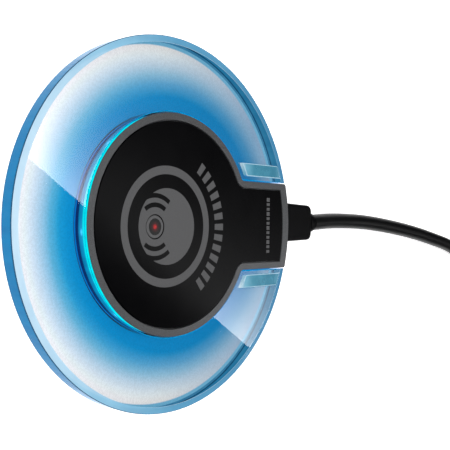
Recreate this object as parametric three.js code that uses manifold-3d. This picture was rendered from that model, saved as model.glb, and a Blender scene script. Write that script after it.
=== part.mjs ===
// A round wireless charging pad: a thick clear disc around a keyhole-shaped housing, with its micro-USB
// cable. Millimetres, +Z up. The origin is under the pad's centre on the surface that it stands on,
// and the housing's tab, its socket and the cable point along +Y.

import * as THREE from "three";
import { mergeVertices } from "three/addons/utils/BufferGeometryUtils.js";
import Module from "manifold-3d";

const wasm = await Module();
wasm.setup();

// ---- Driving dimensions ----

const FIT = 0.3; // clearance between pieces that seat on or in each other
const FINE_FIT = 0.15; // the same, between small fitted pieces
const CUT = 1; // how far a cutting solid runs past the face that it opens
const PAST_RIM = 5; // how far the tab's opening runs past the disc's rim
const JOIN = 0.2; // how far two joined solids run into each other
const LEAST_RADIUS = 0.2; // of an outline's fillets and corners
const ROUND = 72; // segments of a whole turn on the large round pieces
const RIM_ROUND = 2 * ROUND; // the same, on the disc itself
const ROD_ROUND = 24; // on plugs, lenses and screw heads
const PIN_ROUND = 16; // on posts and screws
const CORNER_ROUND = 4; // segments of an outline's rounded corner
const END_ROUND = 8; // of the arc across the tab's end

// The clear disc.
const DISC_RADIUS = 49;
const DISC_THICKNESS = 4.2;
const LAND_WIDTH = 1.8; // the lower step along the disc's rim
const LAND_DROP = 0.25;
const FILM_THICKNESS = 0.2;
const FILM_INSET = 0.5; // from the disc's rim
const WINDOW_WIDTH = 3.7;
const WINDOW_GAP = 1.3; // from the tab's opening to a side window
const WINDOW_DEPTH = 1.4;
const WINDOW_FROM = 2.9; // from the hub's opening to a window's inner end

// The keyhole housing.
const HUB_RADIUS = 29.2;
const TAB_HALF_WIDTH = 12.8;
const TAB_SETBACK = 0.6; // the tab's end behind the disc's rim
const NECK_FILLET = 1.6; // where the round hub meets the tab
const TAB_CORNER = 0.8;
const RIM_ABOVE_DISC = 0.5;
const RIM_WIDTH = 1.9;
const RIM_DEPTH = 1.5;
const RIM_WALL = 0.8; // the part of the rim that goes all the way down
const RIM_LIP = 0.4; // thickness of the rim's lip, over the glowing collar
const TAB_RIM_WIDTH = 2.8; // the rim across the tab's end
const SEAT_THICKNESS = 1.0; // the cover under the face plate
const SEAT_DROP = 1.2; // from the rim's top down to the seat
const PLATE_RECESS = 0.05; // the face plate below the rim's top
const FLOOR_UNDERSIDE = 0.7;
const FLOOR_THICKNESS = 1.4;
const LEDGE_WIDTH = 2.2; // the floor's ledge under the clear disc
const RING_THICKNESS = 1.5; // the glowing collar
const END_WALL = 1.4; // the tab's end wall

// Feet and screws.
const FOOT_WIDTH = 7.3;
const FOOT_TO_SCREW = 1.5; // floor left between the foot ring and a screw's head
const FOOT_SEAT = 0.5; // how deep a foot sits in the floor
const TAB_FOOT_WIDTH = 12;
const TAB_FOOT_LENGTH = 5;
const TAB_FOOT_CORNER = 1;
const TAB_FOOT_FROM_END = 13.4;
const SCREW_ANGLE = 45; // degrees either side of -Y
const TAB_SCREW_FROM_END = 6.4;
const SCREW_SHANK = 0.6;
const SCREW_HEAD = 1.6;
const SCREW_HEAD_THICKNESS = 0.7;
const SCREW_CHAMFER = 0.2;
const SCREW_TIP = 0.4;
const CROSS_SLOT = [1.8, 0.4]; // length and width of each slot of a screw's cross recess
const CROSS_DEPTH = 0.3;
const POST_RADIUS = 1.4;

// Charging parts.
const BOARD_THICKNESS = 0.8;
const COIL_INNER = 11.2;
const COIL_THICKNESS = 1.1;
const SHIELD_OVERHANG = 0.9; // the ferrite past the coil
const SHIELD_THICKNESS = 0.6;
const LEAD_REACH = 2; // of the coil's two leads, past the coil
const LEAD_WIDTH = 0.8;
const LEAD_SPREAD = 4; // of each lead from the middle
const CHIP_SIZE = [5, 5, 0.9];
const DRIVER_SIZE = [3.2, 3.2, 0.9];
const INDUCTOR_SIZE = [4, 4, 1.9];
const CAP_SIZE = [1.6, 3.2, 1.5];
const CAP_COUNT = 4;
const PART_GAP = 0.9; // between parts on the board
const THERMISTOR_SIZE = [2, 1.6, 0.8];
const THERMISTOR_PLACE = [0, 1.8];
const LAMP_COUNT = 7;
const LAMP_FIRST = -227; // degrees
const LAMP_PITCH = 47;
const LAMP_SIZE = [1.1, 1.6, 0.9]; // inwards, along the ring, up
const LENS_RADIUS = 2.9;
const LENS_PLACE = [0.6, -7.7];
const PIPE_RADIUS = 1.0;
const INDICATOR_LAMP = [1.4, 0.8, 0.6];

// The micro-USB socket and plug.
const PLUG_OUT = -1.1; // the socket and the plug, from the tab's middle
const PLUG_METAL = [6.85, 1.8];
const PLUG_METAL_LENGTH = 5.3;
const PLUG_WALL = 0.25;
const SOCKET_WALL = 0.3;
const SOCKET_LENGTH = 6.2;
const SOCKET_SETBACK = 0.7; // the socket's mouth behind the tab's end
const TONGUE_WIDTH = 4.4;
const TONGUE_LENGTH = 3.4;
const TONGUE_BASE = 1.2; // length of the block that holds the tongue
const INSERT_PLAY = 0.1; // above and below a plug's insert
const GRIP_WIDTH = 12; // the plug's moulded grip
const GRIP_BACK_WIDTH = 11.2;
const GRIP_LENGTH = 13.7;
const GRIP_HEIGHT = 6.2;
const GRIP_EDGE = 0.8; // the grip's rounded top and bottom edges
const EDGE_STEP = 0.3; // share of the edge taken by its middle step
const GRIP_CORNER = 2; // the grip's back corners, seen from above
const RELIEF_SIZE = [7, 6.2]; // width and height of the oval collar on the cord
const RELIEF_LENGTH = 2.8;
const RELIEF_TAPER = 0.4;

// The cord, its coil and the USB-A plug.
const CORD_DIAMETER = 5.2;
const CORD_SIDES = 10;
const CORD_STEP = 2; // diameters from one section of the cord to the next
const COIL_EDGE = 0.3; // rounding of the coil's outer shape, in cord diameters
const COIL_CENTRE = [-15, 222];
const TURN_RADIUS_OUT = 31.2; // centre of the outermost turn
const TURNS_ACROSS = 3;
const TURN_LAYERS = 2;
const TIE_WIDTH = 6;
const TIE_THICKNESS = 0.5;
const TIE_ANGLE = 150; // degrees round the coil
const USB_A_PLACE = [29, 220]; // the cord's end of the USB-A plug
const USB_A_AXIS = 4.2;
const USB_A_RELIEF_LENGTH = 7;
const USB_A_RELIEF_GROWTH = [0.5, 1.3]; // past the cord's radius, at the cord and at the grip
const USB_A_GRIP = [15.6, 21, 8]; // width, length, height
const USB_A_METAL = [12, 4.5];
const USB_A_METAL_LENGTH = 12.5;
const USB_A_WALL = 0.35;
const USB_A_INSERT_SETBACK = 0.6;
const USB_A_CONTACTS = 4;
const USB_A_CONTACT_PITCH = 2.3;
const USB_A_CONTACT = [1, 10.1, 0.18]; // width, length, height

// Places of the cord's middle, from the pad's plug to its coil, and from the coil to the USB-A plug.
const LEAD_POINTS = [
  [-1.1, 65.7, 3.9],
  [-1.4, 70, 3.75],
  [-1.8, 78, 3.2],
  [-1.9, 88, 2.75],
  [-1.7, 98.5, 2.65],
  [-0.9, 111, 2.65],
  [0.5, 125.5, 2.65],
  [2.4, 140.5, 2.65],
  [5.0, 156.5, 2.65],
  [7.9, 171.5, 2.65],
  [10.8, 181, 2.65],
  [13.2, 188.5, 2.65],
];
const TAIL_POINTS = [
  [8.9, 194.2, 8.5],
  [13.2, 196.4, 8.6],
  [17.8, 199.5, 8.0],
  [22.2, 203.6, 6.6],
  [26.2, 208.6, 5.2],
  [28.4, 213.8, 4.4],
  [29, 219.7, 4.2],
];

// ---- Levels and places that follow ----

const FLOOR_TOP = FLOOR_UNDERSIDE + FLOOR_THICKNESS;
const BOARD_UNDERSIDE = FLOOR_TOP + FIT;
const BOARD_TOP = BOARD_UNDERSIDE + BOARD_THICKNESS;
const SHIELD_UNDERSIDE = BOARD_TOP + FIT;
const COIL_UNDERSIDE = SHIELD_UNDERSIDE + SHIELD_THICKNESS + FIT;
const COVER_UNDERSIDE = COIL_UNDERSIDE + COIL_THICKNESS + FIT;
const SEAT_TOP = COVER_UNDERSIDE + SEAT_THICKNESS;
const RIM_TOP = SEAT_TOP + SEAT_DROP;
const DISC_TOP = RIM_TOP - RIM_ABOVE_DISC;
const DISC_UNDERSIDE = DISC_TOP - DISC_THICKNESS;
const FILM_UNDERSIDE = DISC_UNDERSIDE - FINE_FIT - FILM_THICKNESS;
const LEDGE_TOP = FILM_UNDERSIDE - FINE_FIT;
const WALL_TOP = RIM_TOP - RIM_DEPTH - FIT; // of the glowing collar and the tab's end wall
const WALL_TIP = RIM_TOP - RIM_LIP - FIT; // of their thinner top, under the rim's lip
const RING_INNER = HUB_RADIUS - FIT - RING_THICKNESS;
const BOARD_MARGIN = -(RING_THICKNESS + 2 * FIT); // the board's outline from the hub's
const LAMP_OUTER = RING_INNER - 2 * FIT;
const SCREW_CIRCLE = LAMP_OUTER - LAMP_SIZE[0] - FIT - POST_RADIUS;
const SHIELD_RADIUS = SCREW_CIRCLE - POST_RADIUS - FIT;
const COIL_OUTER = SHIELD_RADIUS - SHIELD_OVERHANG;
const FOOT_OUTER = SCREW_CIRCLE - SCREW_HEAD - FIT - FOOT_TO_SCREW;
const FOOT_INNER = FOOT_OUTER - FOOT_WIDTH;
const FIRST_ROW = COIL_OUTER + LEAD_REACH + FIT + CHIP_SIZE[1] / 2; // of parts on the board
const SECOND_ROW = FIRST_ROW + CHIP_SIZE[1] / 2 + PART_GAP + INDUCTOR_SIZE[1] / 2;
const TAB_END = DISC_RADIUS - TAB_SETBACK;
const SOCKET_MOUTH = TAB_END - SOCKET_SETBACK;
const SOCKET_BACK = SOCKET_MOUTH - SOCKET_LENGTH;
const SOCKET_BORE = PLUG_METAL.map((side) => side + 2 * FIT);
const SOCKET_OUTER = SOCKET_BORE.map((side) => side + 2 * SOCKET_WALL);
const SOCKET_AXIS = FLOOR_TOP + FIT + SOCKET_OUTER[1] / 2; // and the plug's
const GRIP_FRONT = TAB_END + FIT;
const GRIP_BACK = GRIP_FRONT + GRIP_LENGTH;
const CORD_RADIUS = CORD_DIAMETER / 2;
const COIL_BASE = TIE_THICKNESS + INSERT_PLAY; // the coil lies on its tie
const COIL_TOP = COIL_BASE + TURN_LAYERS * CORD_DIAMETER;
const COIL_OUTSIDE = TURN_RADIUS_OUT + CORD_RADIUS;
const COIL_INSIDE = COIL_OUTSIDE - TURNS_ACROSS * CORD_DIAMETER;
// Halfway between the socket's side and the board's.
const TAB_SCREW_OUT = (SOCKET_OUTER[0] / 2 + FIT + TAB_HALF_WIDTH + BOARD_MARGIN) / 2;
const SCREW_PLACES = [
  ...[-90 - SCREW_ANGLE, -90 + SCREW_ANGLE].map((degrees) => polar(SCREW_CIRCLE, degrees)),
  ...[-1, 1].map((side) => [side * TAB_SCREW_OUT, TAB_END - TAB_SCREW_FROM_END]),
];

// ---- Materials ----

const finish = (color, roughness, metalness = 0) =>
  new THREE.MeshStandardMaterial({ color, roughness, metalness });

const clearBlue = () => finish(0x3fa6dd, 0.05);
const gradedFilm = () => finish(0xbfdcf0, 0.6);
const glowCyan = () => finish(0x2fd0f0, 0.15);
const gunmetal = () => finish(0x55585a, 0.35, 0.7);
const glossBlack = () => finish(0x0a0a0b, 0.12);
const satinBlack = () => finish(0x17181a, 0.5);
const softBlack = () => finish(0x1d1e20, 0.7);
const rubberGrey = () => finish(0x26272a, 0.9);
const copper = () => finish(0xb4683a, 0.4, 0.8);
const ferrite = () => finish(0x3b3a3c, 0.7);
const boardGreen = () => finish(0x1c5a38, 0.5);
const chipBlack = () => finish(0x121314, 0.6);
const ceramicTan = () => finish(0xb09a78, 0.6);
const plated = () => finish(0xc8cacd, 0.25, 0.95);
const gilt = () => finish(0xd9b25c, 0.3, 0.9);
const screwSteel = () => finish(0x8d9094, 0.35, 0.9);
const lampWhite = () => finish(0xdfeaf2, 0.4);
const lampRed = () => finish(0xc2202c, 0.3);
const darkLens = () => finish(0x1a0709, 0.08);
const whitePlastic = () => finish(0xe4e4e0, 0.5);

// ---- Helpers ----

function polar(radius, degrees) {
  const angle = THREE.MathUtils.degToRad(degrees);
  return [radius * Math.cos(angle), radius * Math.sin(angle)];
}

// A three.js geometry as a closed solid with its faces pointing out.
function solid(geometry) {
  const bare = geometry.clone();
  bare.deleteAttribute("normal");
  bare.deleteAttribute("uv");
  const merged = mergeVertices(bare, 1e-4);
  const { array } = merged.attributes.position;
  const corner = (i) => new THREE.Vector3().fromArray(array, 3 * i);
  const faces = [];
  let volume = 0;
  for (let i = 0; i < merged.index.count; i += 3) {
    const face = [0, 1, 2].map((k) => merged.index.array[i + k]);
    if (new Set(face).size < 3) continue;
    faces.push(face);
    const [a, b, c] = face.map(corner);
    volume += a.dot(b.cross(c));
  }
  const triVerts = new Uint32Array(faces.flatMap((face) => (volume < 0 ? face.reverse() : face)));
  return new wasm.Manifold(new wasm.Mesh({ numProp: 3, vertProperties: array, triVerts }));
}

function piece(name, shape, material) {
  const { vertProperties, triVerts } = shape.getMesh();
  const geometry = new THREE.BufferGeometry();
  geometry.setAttribute("position", new THREE.BufferAttribute(vertProperties, 3));
  geometry.setIndex(new THREE.BufferAttribute(triVerts, 1));
  geometry.computeVertexNormals();
  const mesh = new THREE.Mesh(geometry, material);
  mesh.name = name;
  return mesh;
}

const cut = (body, ...tools) => tools.reduce((left, tool) => left.subtract(tool), body);

// An outline drawn in X and Y, as a solid between two heights.
function prism(points, low, high) {
  const outline = new THREE.Shape(points.map(([x, y]) => new THREE.Vector2(x, y)));
  const geometry = new THREE.ExtrudeGeometry(outline, { depth: high - low, bevelEnabled: false });
  return solid(geometry.translate(0, 0, low));
}

function block(low, high) {
  const size = high.map((value, axis) => value - low[axis]);
  const middle = high.map((value, axis) => (value + low[axis]) / 2);
  return solid(new THREE.BoxGeometry(...size).translate(...middle));
}

// A round solid about +Z through (x, y), from a profile of [radius, height].
function turned(profile, segments = ROUND, [x, y] = [0, 0]) {
  const points = profile.map(([radius, height]) => new THREE.Vector2(radius, height));
  const geometry = new THREE.LatheGeometry(points, segments);
  return solid(geometry.rotateX(Math.PI / 2).translate(x, y, 0));
}

const rod = (radius, low, high, segments = ROUND, place = [0, 0]) =>
  turned([[0, low], [radius, low], [radius, high], [0, high]], segments, place);

const hoop = (inner, outer, low, high, segments = ROUND, place = [0, 0]) =>
  turned(
    [[inner, low], [outer, low], [outer, high], [inner, high], [inner, low]], segments, place);

// A round bar along +Y whose radius goes from one value to another.
function barAlongY(place, length, startRadius, endRadius) {
  const profile = [[0, 0], [startRadius, 0], [endRadius, length], [0, length]];
  const points = profile.map(([radius, along]) => new THREE.Vector2(radius, along));
  return solid(new THREE.LatheGeometry(points, ROD_ROUND).translate(...place));
}

// A rectangular tube along +Y, open at both ends.
function sleeve([width, height], wall, [x, z], front, back) {
  const box = (grow, past) =>
    block(
      [x - width / 2 - grow, front - past, z - height / 2 - grow],
      [x + width / 2 + grow, back + past, z + height / 2 + grow],
    );
  return cut(box(0, 0), box(-wall, CUT));
}

function arc(radius, from, to, count, [x, y] = [0, 0]) {
  return Array.from({ length: count + 1 }, (_, i) => {
    const angle = from + ((to - from) * i) / count;
    return [x + radius * Math.cos(angle), y + radius * Math.sin(angle)];
  });
}

// The keyhole outline, grown by a margin: a round hub, a straight tab with filleted neck, and an end that
// follows the disc's rim.
function keyhole(margin, end = TAB_END + margin) {
  const hub = HUB_RADIUS + margin;
  const half = TAB_HALF_WIDTH + margin;
  const neck = Math.max(NECK_FILLET - margin, LEAST_RADIUS);
  const corner = Math.max(TAB_CORNER + margin, LEAST_RADIUS);
  const neckY = Math.sqrt((hub + neck) ** 2 - (half + neck) ** 2);
  const cornerY = Math.sqrt((end - corner) ** 2 - (half - corner) ** 2);
  const neckAngle = Math.atan2(neckY, half + neck);
  const endAngle = Math.atan2(cornerY, half - corner);
  const rightSide = [
    ...arc(neck, neckAngle + Math.PI, Math.PI, CORNER_ROUND, [half + neck, neckY]),
    ...arc(corner, 0, endAngle, CORNER_ROUND, [half - corner, cornerY]),
  ];
  const leftSide = rightSide.map(([x, y]) => [-x, y]).reverse();
  return [
    ...arc(hub, Math.PI - neckAngle, 2 * Math.PI + neckAngle, ROUND).slice(1, -1),
    ...rightSide,
    ...arc(end, endAngle, Math.PI - endAngle, END_ROUND).slice(1, -1),
    ...leftSide,
  ];
}

// The keyhole opening through the disc and its film, run out past the rim.
const throughTab = (margin, low, high) => prism(keyhole(margin, DISC_RADIUS + PAST_RIM), low, high);

// The space of a side window, grown by a margin: between two arcs about the centre, beside the tab.
function windowSpace(side, margin, low, high) {
  const near = TAB_HALF_WIDTH + FIT + WINDOW_GAP - margin;
  const far = near + WINDOW_WIDTH + 2 * margin;
  const inner = HUB_RADIUS + FIT + WINDOW_FROM - margin;
  const outer = DISC_RADIUS - LAND_WIDTH - FIT + margin;
  const band = hoop(inner, outer, low, high, RIM_ROUND);
  const [left, right] = side > 0 ? [near, far] : [-far, -near];
  return band.intersect(block([left, 0, low], [right, DISC_RADIUS, high]));
}

// ---- The clear disc ----

function clearDisc() {
  const land = DISC_TOP - LAND_DROP;
  const body = turned([
    [0, DISC_UNDERSIDE],
    [DISC_RADIUS, DISC_UNDERSIDE],
    [DISC_RADIUS, land],
    [DISC_RADIUS - LAND_WIDTH, land],
    [DISC_RADIUS - LAND_WIDTH, DISC_TOP],
    [0, DISC_TOP],
  ], RIM_ROUND);
  const pockets = [-1, 1].map((side) =>
    windowSpace(side, FINE_FIT, DISC_TOP - WINDOW_DEPTH - FINE_FIT, DISC_TOP + CUT));
  const opening = throughTab(FIT, DISC_UNDERSIDE - CUT, DISC_TOP + CUT);
  return cut(body, opening, ...pockets);
}

function film() {
  const top = FILM_UNDERSIDE + FILM_THICKNESS;
  const sheet = rod(DISC_RADIUS - FILM_INSET, FILM_UNDERSIDE, top, RIM_ROUND);
  return cut(sheet, throughTab(FIT, FILM_UNDERSIDE - CUT, top + CUT));
}

function discPieces() {
  const group = new THREE.Group();
  group.add(piece("crystal_disc", clearDisc(), clearBlue()));
  group.add(piece("diffuser_film", film(), gradedFilm()));
  [-1, 1].forEach((side, i) => {
    const window = windowSpace(side, 0, DISC_TOP - WINDOW_DEPTH, DISC_TOP);
    group.add(piece(`side_window_${i + 1}`, window, clearBlue()));
  });
  return group;
}

// ---- The housing ----

// The space round the socket, out through the tab's end wall.
const socketHole = () =>
  block(
    [PLUG_OUT - SOCKET_OUTER[0] / 2 - FIT, SOCKET_BACK - FIT, SOCKET_AXIS - SOCKET_OUTER[1] / 2 - FIT],
    [PLUG_OUT + SOCKET_OUTER[0] / 2 + FIT, TAB_END + CUT, SOCKET_AXIS + SOCKET_OUTER[1] / 2 + FIT],
  );

function topCover() {
  const lip = prism(keyhole(0), RIM_TOP - RIM_LIP, RIM_TOP);
  const rim = prism(keyhole(RIM_WALL - RIM_WIDTH), RIM_TOP - RIM_DEPTH, RIM_TOP).add(lip);
  const pocket = prism(keyhole(-RIM_WIDTH, TAB_END - TAB_RIM_WIDTH), SEAT_TOP, RIM_TOP + CUT);
  const seat = prism(keyhole(-RIM_WIDTH - FIT), COVER_UNDERSIDE, SEAT_TOP);
  const posts = SCREW_PLACES.map((place) =>
    rod(POST_RADIUS, BOARD_UNDERSIDE, COVER_UNDERSIDE + JOIN, PIN_ROUND, place));
  const holes = SCREW_PLACES.map((place) =>
    rod(SCREW_SHANK + FINE_FIT, BOARD_UNDERSIDE - CUT, COVER_UNDERSIDE, PIN_ROUND, place));
  const pipeHole = rod(PIPE_RADIUS + FIT, COVER_UNDERSIDE - CUT, SEAT_TOP + CUT, ROD_ROUND, LENS_PLACE);
  const whole = posts.reduce((sum, post) => sum.add(post), cut(rim, pocket).add(seat));
  return cut(whole, pipeHole, socketHole(), ...holes);
}

function facePlate() {
  const low = SEAT_TOP + FINE_FIT;
  const high = RIM_TOP - PLATE_RECESS;
  const plate = prism(keyhole(-RIM_WIDTH - FIT, TAB_END - TAB_RIM_WIDTH - FIT), low, high);
  return cut(plate, rod(LENS_RADIUS + FINE_FIT, low - CUT, high + CUT, ROD_ROUND, LENS_PLACE));
}

// A wall just inside the keyhole's outline. Its top is thinner, and stands under the rim's lip.
function steppedWall(low, thickness) {
  const outer = prism(keyhole(-FIT), low, WALL_TIP);
  const inner = prism(keyhole(-FIT - thickness), low - CUT, RIM_TOP);
  const step = prism(keyhole(FIT + RIM_WALL - RIM_WIDTH), WALL_TOP, RIM_TOP);
  return cut(outer, inner, step);
}

function glowRing() {
  const low = FLOOR_TOP + FIT;
  const endCut = TAB_END - END_WALL - FIT;
  const openEnd = block([-DISC_RADIUS, endCut - TAB_CORNER, low - CUT], [DISC_RADIUS, DISC_RADIUS, RIM_TOP]);
  return cut(steppedWall(low, RING_THICKNESS), openEnd);
}

// A rectangle with round corners, grown by a margin.
function tabFootOutline(margin) {
  const radius = TAB_FOOT_CORNER + margin;
  const half = TAB_FOOT_WIDTH / 2 - TAB_FOOT_CORNER;
  const deep = TAB_FOOT_LENGTH / 2 - TAB_FOOT_CORNER;
  const quarter = Math.PI / 2;
  const corners = [[half, deep], [-half, deep], [-half, -deep], [half, -deep]];
  return corners.flatMap(([x, y], turn) =>
    arc(radius, turn * quarter, (turn + 1) * quarter, CORNER_ROUND, [x, TAB_END - TAB_FOOT_FROM_END + y]));
}

// The floor, a ledge round it that holds the clear disc up, and the tab's end wall.
function bottomCover() {
  const floor = prism(keyhole(JOIN, TAB_END), FLOOR_UNDERSIDE, FLOOR_TOP);
  const ledge = cut(
    prism(keyhole(LEDGE_WIDTH, TAB_END), FLOOR_UNDERSIDE, LEDGE_TOP),
    throughTab(0, FLOOR_UNDERSIDE - CUT, LEDGE_TOP + CUT));
  const wallFront = TAB_END - END_WALL - FIT;
  const endWall = steppedWall(FLOOR_TOP - JOIN, END_WALL).intersect(
    block([-DISC_RADIUS, wallFront, 0], [DISC_RADIUS, DISC_RADIUS, DISC_RADIUS]));
  const footSeat = FLOOR_UNDERSIDE + FOOT_SEAT + FIT;
  const ringSeat = hoop(FOOT_INNER - FIT, FOOT_OUTER + FIT, 0, footSeat);
  const tabSeat = prism(tabFootOutline(FIT), 0, footSeat);
  const screwHoles = SCREW_PLACES.flatMap((place) => [
    rod(SCREW_SHANK + FIT, 0, FLOOR_TOP + CUT, PIN_ROUND, place),
    rod(SCREW_HEAD + FIT, 0, FLOOR_UNDERSIDE + SCREW_HEAD_THICKNESS, ROD_ROUND, place),
  ]);
  return cut(floor.add(ledge).add(endWall), ringSeat, tabSeat, socketHole(), ...screwHoles);
}

// A pan-head screw, driven up from below, with a cross recess.
function screw(place) {
  const low = FLOOR_UNDERSIDE + FINE_FIT;
  const neck = FLOOR_UNDERSIDE + SCREW_HEAD_THICKNESS - FINE_FIT;
  const body = turned([
    [0, low], [SCREW_HEAD - SCREW_CHAMFER, low], [SCREW_HEAD, low + SCREW_CHAMFER], [SCREW_HEAD, neck],
    [SCREW_SHANK, neck], [SCREW_SHANK, COVER_UNDERSIDE - 2 * SCREW_TIP], [0, COVER_UNDERSIDE - SCREW_TIP],
  ], PIN_ROUND, place);
  const [x, y] = place;
  const slots = [CROSS_SLOT, [...CROSS_SLOT].reverse()].map(([width, depth]) =>
    block(
      [x - width / 2, y - depth / 2, low - CUT], [x + width / 2, y + depth / 2, low + CROSS_DEPTH]));
  return cut(body, ...slots);
}

function housingPieces() {
  const group = new THREE.Group();
  const footTop = FLOOR_UNDERSIDE + FOOT_SEAT;
  group.add(piece("top_cover", topCover(), gunmetal()));
  group.add(piece("face_plate", facePlate(), glossBlack()));
  group.add(piece("light_ring", glowRing(), glowCyan()));
  group.add(piece("bottom_cover", bottomCover(), satinBlack()));
  group.add(piece("foot_ring", hoop(FOOT_INNER, FOOT_OUTER, 0, footTop), rubberGrey()));
  group.add(piece("tab_foot", prism(tabFootOutline(0), 0, footTop), rubberGrey()));
  SCREW_PLACES.forEach((place, i) => {
    group.add(piece(`cover_screw_${i + 1}`, screw(place), screwSteel()));
  });
  return group;
}

// ---- Inside ----

function circuitBoard() {
  const board = prism(keyhole(BOARD_MARGIN), BOARD_UNDERSIDE, BOARD_TOP);
  const postHoles = SCREW_PLACES.map((place) =>
    rod(POST_RADIUS + FIT, BOARD_UNDERSIDE - CUT, BOARD_TOP + CUT, PIN_ROUND, place));
  const socketGap = block(
    [PLUG_OUT - SOCKET_OUTER[0] / 2 - FIT, SOCKET_BACK - FIT, 0],
    [PLUG_OUT + SOCKET_OUTER[0] / 2 + FIT, DISC_RADIUS, DISC_TOP],
  );
  const endTrim = block(
    [-DISC_RADIUS, TAB_END - END_WALL - TAB_CORNER - 2 * FIT, 0], [DISC_RADIUS, DISC_RADIUS, DISC_TOP]);
  return cut(board, socketGap, endTrim, ...postHoles);
}

// A block standing at a height, by its middle and its size.
const standing = ([x, y], [width, depth, height], low) =>
  block([x - width / 2, y - depth / 2, low], [x + width / 2, y + depth / 2, low + height]);

const onBoard = (place, size) => standing(place, size, BOARD_TOP + FINE_FIT);

function ringLamp(degrees) {
  const [inwards, along, up] = LAMP_SIZE;
  const low = BOARD_TOP + FINE_FIT;
  const lamp = new THREE.BoxGeometry(inwards, along, up)
    .translate(LAMP_OUTER - inwards / 2, 0, low + up / 2)
    .rotateZ(THREE.MathUtils.degToRad(degrees));
  return solid(lamp);
}

function chargingPieces() {
  const group = new THREE.Group();
  const shield = cut(
    rod(SHIELD_RADIUS, SHIELD_UNDERSIDE, SHIELD_UNDERSIDE + SHIELD_THICKNESS),
    rod(PIPE_RADIUS + FIT, 0, RIM_TOP, ROD_ROUND, LENS_PLACE));
  const coil = hoop(COIL_INNER, COIL_OUTER, COIL_UNDERSIDE, COIL_UNDERSIDE + COIL_THICKNESS);
  group.add(piece("circuit_board", circuitBoard(), boardGreen()));
  group.add(piece("ferrite_shield", shield, ferrite()));
  group.add(piece("charging_coil", coil, copper()));
  [-1, 1].forEach((side, i) => {
    const left = side * LEAD_SPREAD - LEAD_WIDTH / 2;
    const end = COIL_OUTER + LEAD_REACH;
    const high = COIL_UNDERSIDE + LEAD_WIDTH;
    const along = block([left, COIL_OUTER + FIT, COIL_UNDERSIDE], [left + LEAD_WIDTH, end, high]);
    const down = block(
      [left, end - LEAD_WIDTH, BOARD_TOP + FINE_FIT], [left + LEAD_WIDTH, end, COIL_UNDERSIDE + FIT]);
    group.add(piece(`coil_lead_${i + 1}`, along.add(down), copper()));
  });
  const thermistor = standing(THERMISTOR_PLACE, THERMISTOR_SIZE, COIL_UNDERSIDE);
  group.add(piece("coil_thermistor", thermistor, ceramicTan()));
  return group;
}

function boardPieces() {
  const group = new THREE.Group();
  const driverOut = CHIP_SIZE[0] / 2 + PART_GAP + DRIVER_SIZE[0] / 2;
  const inductorOut = PART_GAP + INDUCTOR_SIZE[0] / 2;
  group.add(piece("control_chip", onBoard([0, FIRST_ROW], CHIP_SIZE), chipBlack()));
  group.add(piece("filter_inductor", onBoard([-inductorOut, SECOND_ROW], INDUCTOR_SIZE), ferrite()));
  [-1, 1].forEach((side, i) => {
    const driver = onBoard([side * driverOut, FIRST_ROW], DRIVER_SIZE);
    group.add(piece(`coil_driver_${i + 1}`, driver, chipBlack()));
  });
  for (let i = 0; i < CAP_COUNT; i += 1) {
    const cap = onBoard([CAP_SIZE[0] / 2 + (CAP_SIZE[0] + PART_GAP / 2) * i, SECOND_ROW], CAP_SIZE);
    group.add(piece(`resonant_cap_${i + 1}`, cap, ceramicTan()));
  }
  for (let i = 0; i < LAMP_COUNT; i += 1) {
    const lamp = ringLamp(LAMP_FIRST + LAMP_PITCH * i);
    group.add(piece(`ring_lamp_${i + 1}`, lamp, lampWhite()));
  }
  return group;
}

// The red lamp, the pipe above it and the dark lens in the face plate.
function indicatorPieces() {
  const group = new THREE.Group();
  const lensLow = SEAT_TOP + FINE_FIT;
  const lampTop = BOARD_TOP + FINE_FIT + INDICATOR_LAMP[2];
  const pipe = rod(PIPE_RADIUS, lampTop + FINE_FIT, lensLow - FINE_FIT, ROD_ROUND, LENS_PLACE);
  const lens = rod(LENS_RADIUS, lensLow, RIM_TOP - PLATE_RECESS, ROD_ROUND, LENS_PLACE);
  group.add(piece("indicator_lamp", onBoard(LENS_PLACE, INDICATOR_LAMP), lampRed()));
  group.add(piece("indicator_pipe", pipe, whitePlastic()));
  group.add(piece("indicator_lens", lens, darkLens()));
  return group;
}

// ---- The socket ----

// Moves pieces drawn about the tab's middle to the socket's place.
function inLine(group) {
  group.children.forEach(({ geometry }) => geometry.translate(PLUG_OUT, 0, 0));
  return group;
}

function socketPieces() {
  const group = new THREE.Group();
  const tube = sleeve(SOCKET_OUTER, SOCKET_WALL, [0, SOCKET_AXIS], SOCKET_BACK, SOCKET_MOUTH);
  group.add(piece("socket_shell", tube, plated()));
  const [width, height] = SOCKET_BORE.map((side) => side - 2 * FINE_FIT);
  const baseEnd = SOCKET_BACK + TONGUE_BASE;
  // The tongue fills the plug's upper half, inside its metal.
  const tongueHigh = SOCKET_AXIS + PLUG_METAL[1] / 2 - PLUG_WALL - FINE_FIT;
  const base = block(
    [-width / 2, SOCKET_BACK, SOCKET_AXIS - height / 2], [width / 2, baseEnd, SOCKET_AXIS + height / 2]);
  const tongue = block(
    [-TONGUE_WIDTH / 2, baseEnd - JOIN, SOCKET_AXIS + FINE_FIT],
    [TONGUE_WIDTH / 2, baseEnd + TONGUE_LENGTH, tongueHigh]);
  group.add(piece("socket_tongue", base.add(tongue), whitePlastic()));
  return inLine(group);
}

// ---- The plug ----

// The grip's outline from above: straight sides that draw in towards the cord, and round back corners.
function gripOutline(frontWidth, backWidth, length, margin) {
  const radius = GRIP_CORNER - margin;
  const half = backWidth / 2 - margin;
  const back = length - margin;
  const right = [
    [frontWidth / 2 - margin, margin],
    ...arc(radius, 0, Math.PI / 2, CORNER_ROUND, [half - radius, back - radius]),
  ];
  return [...right, ...right.map(([x, y]) => [-x, y]).reverse()];
}

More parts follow.
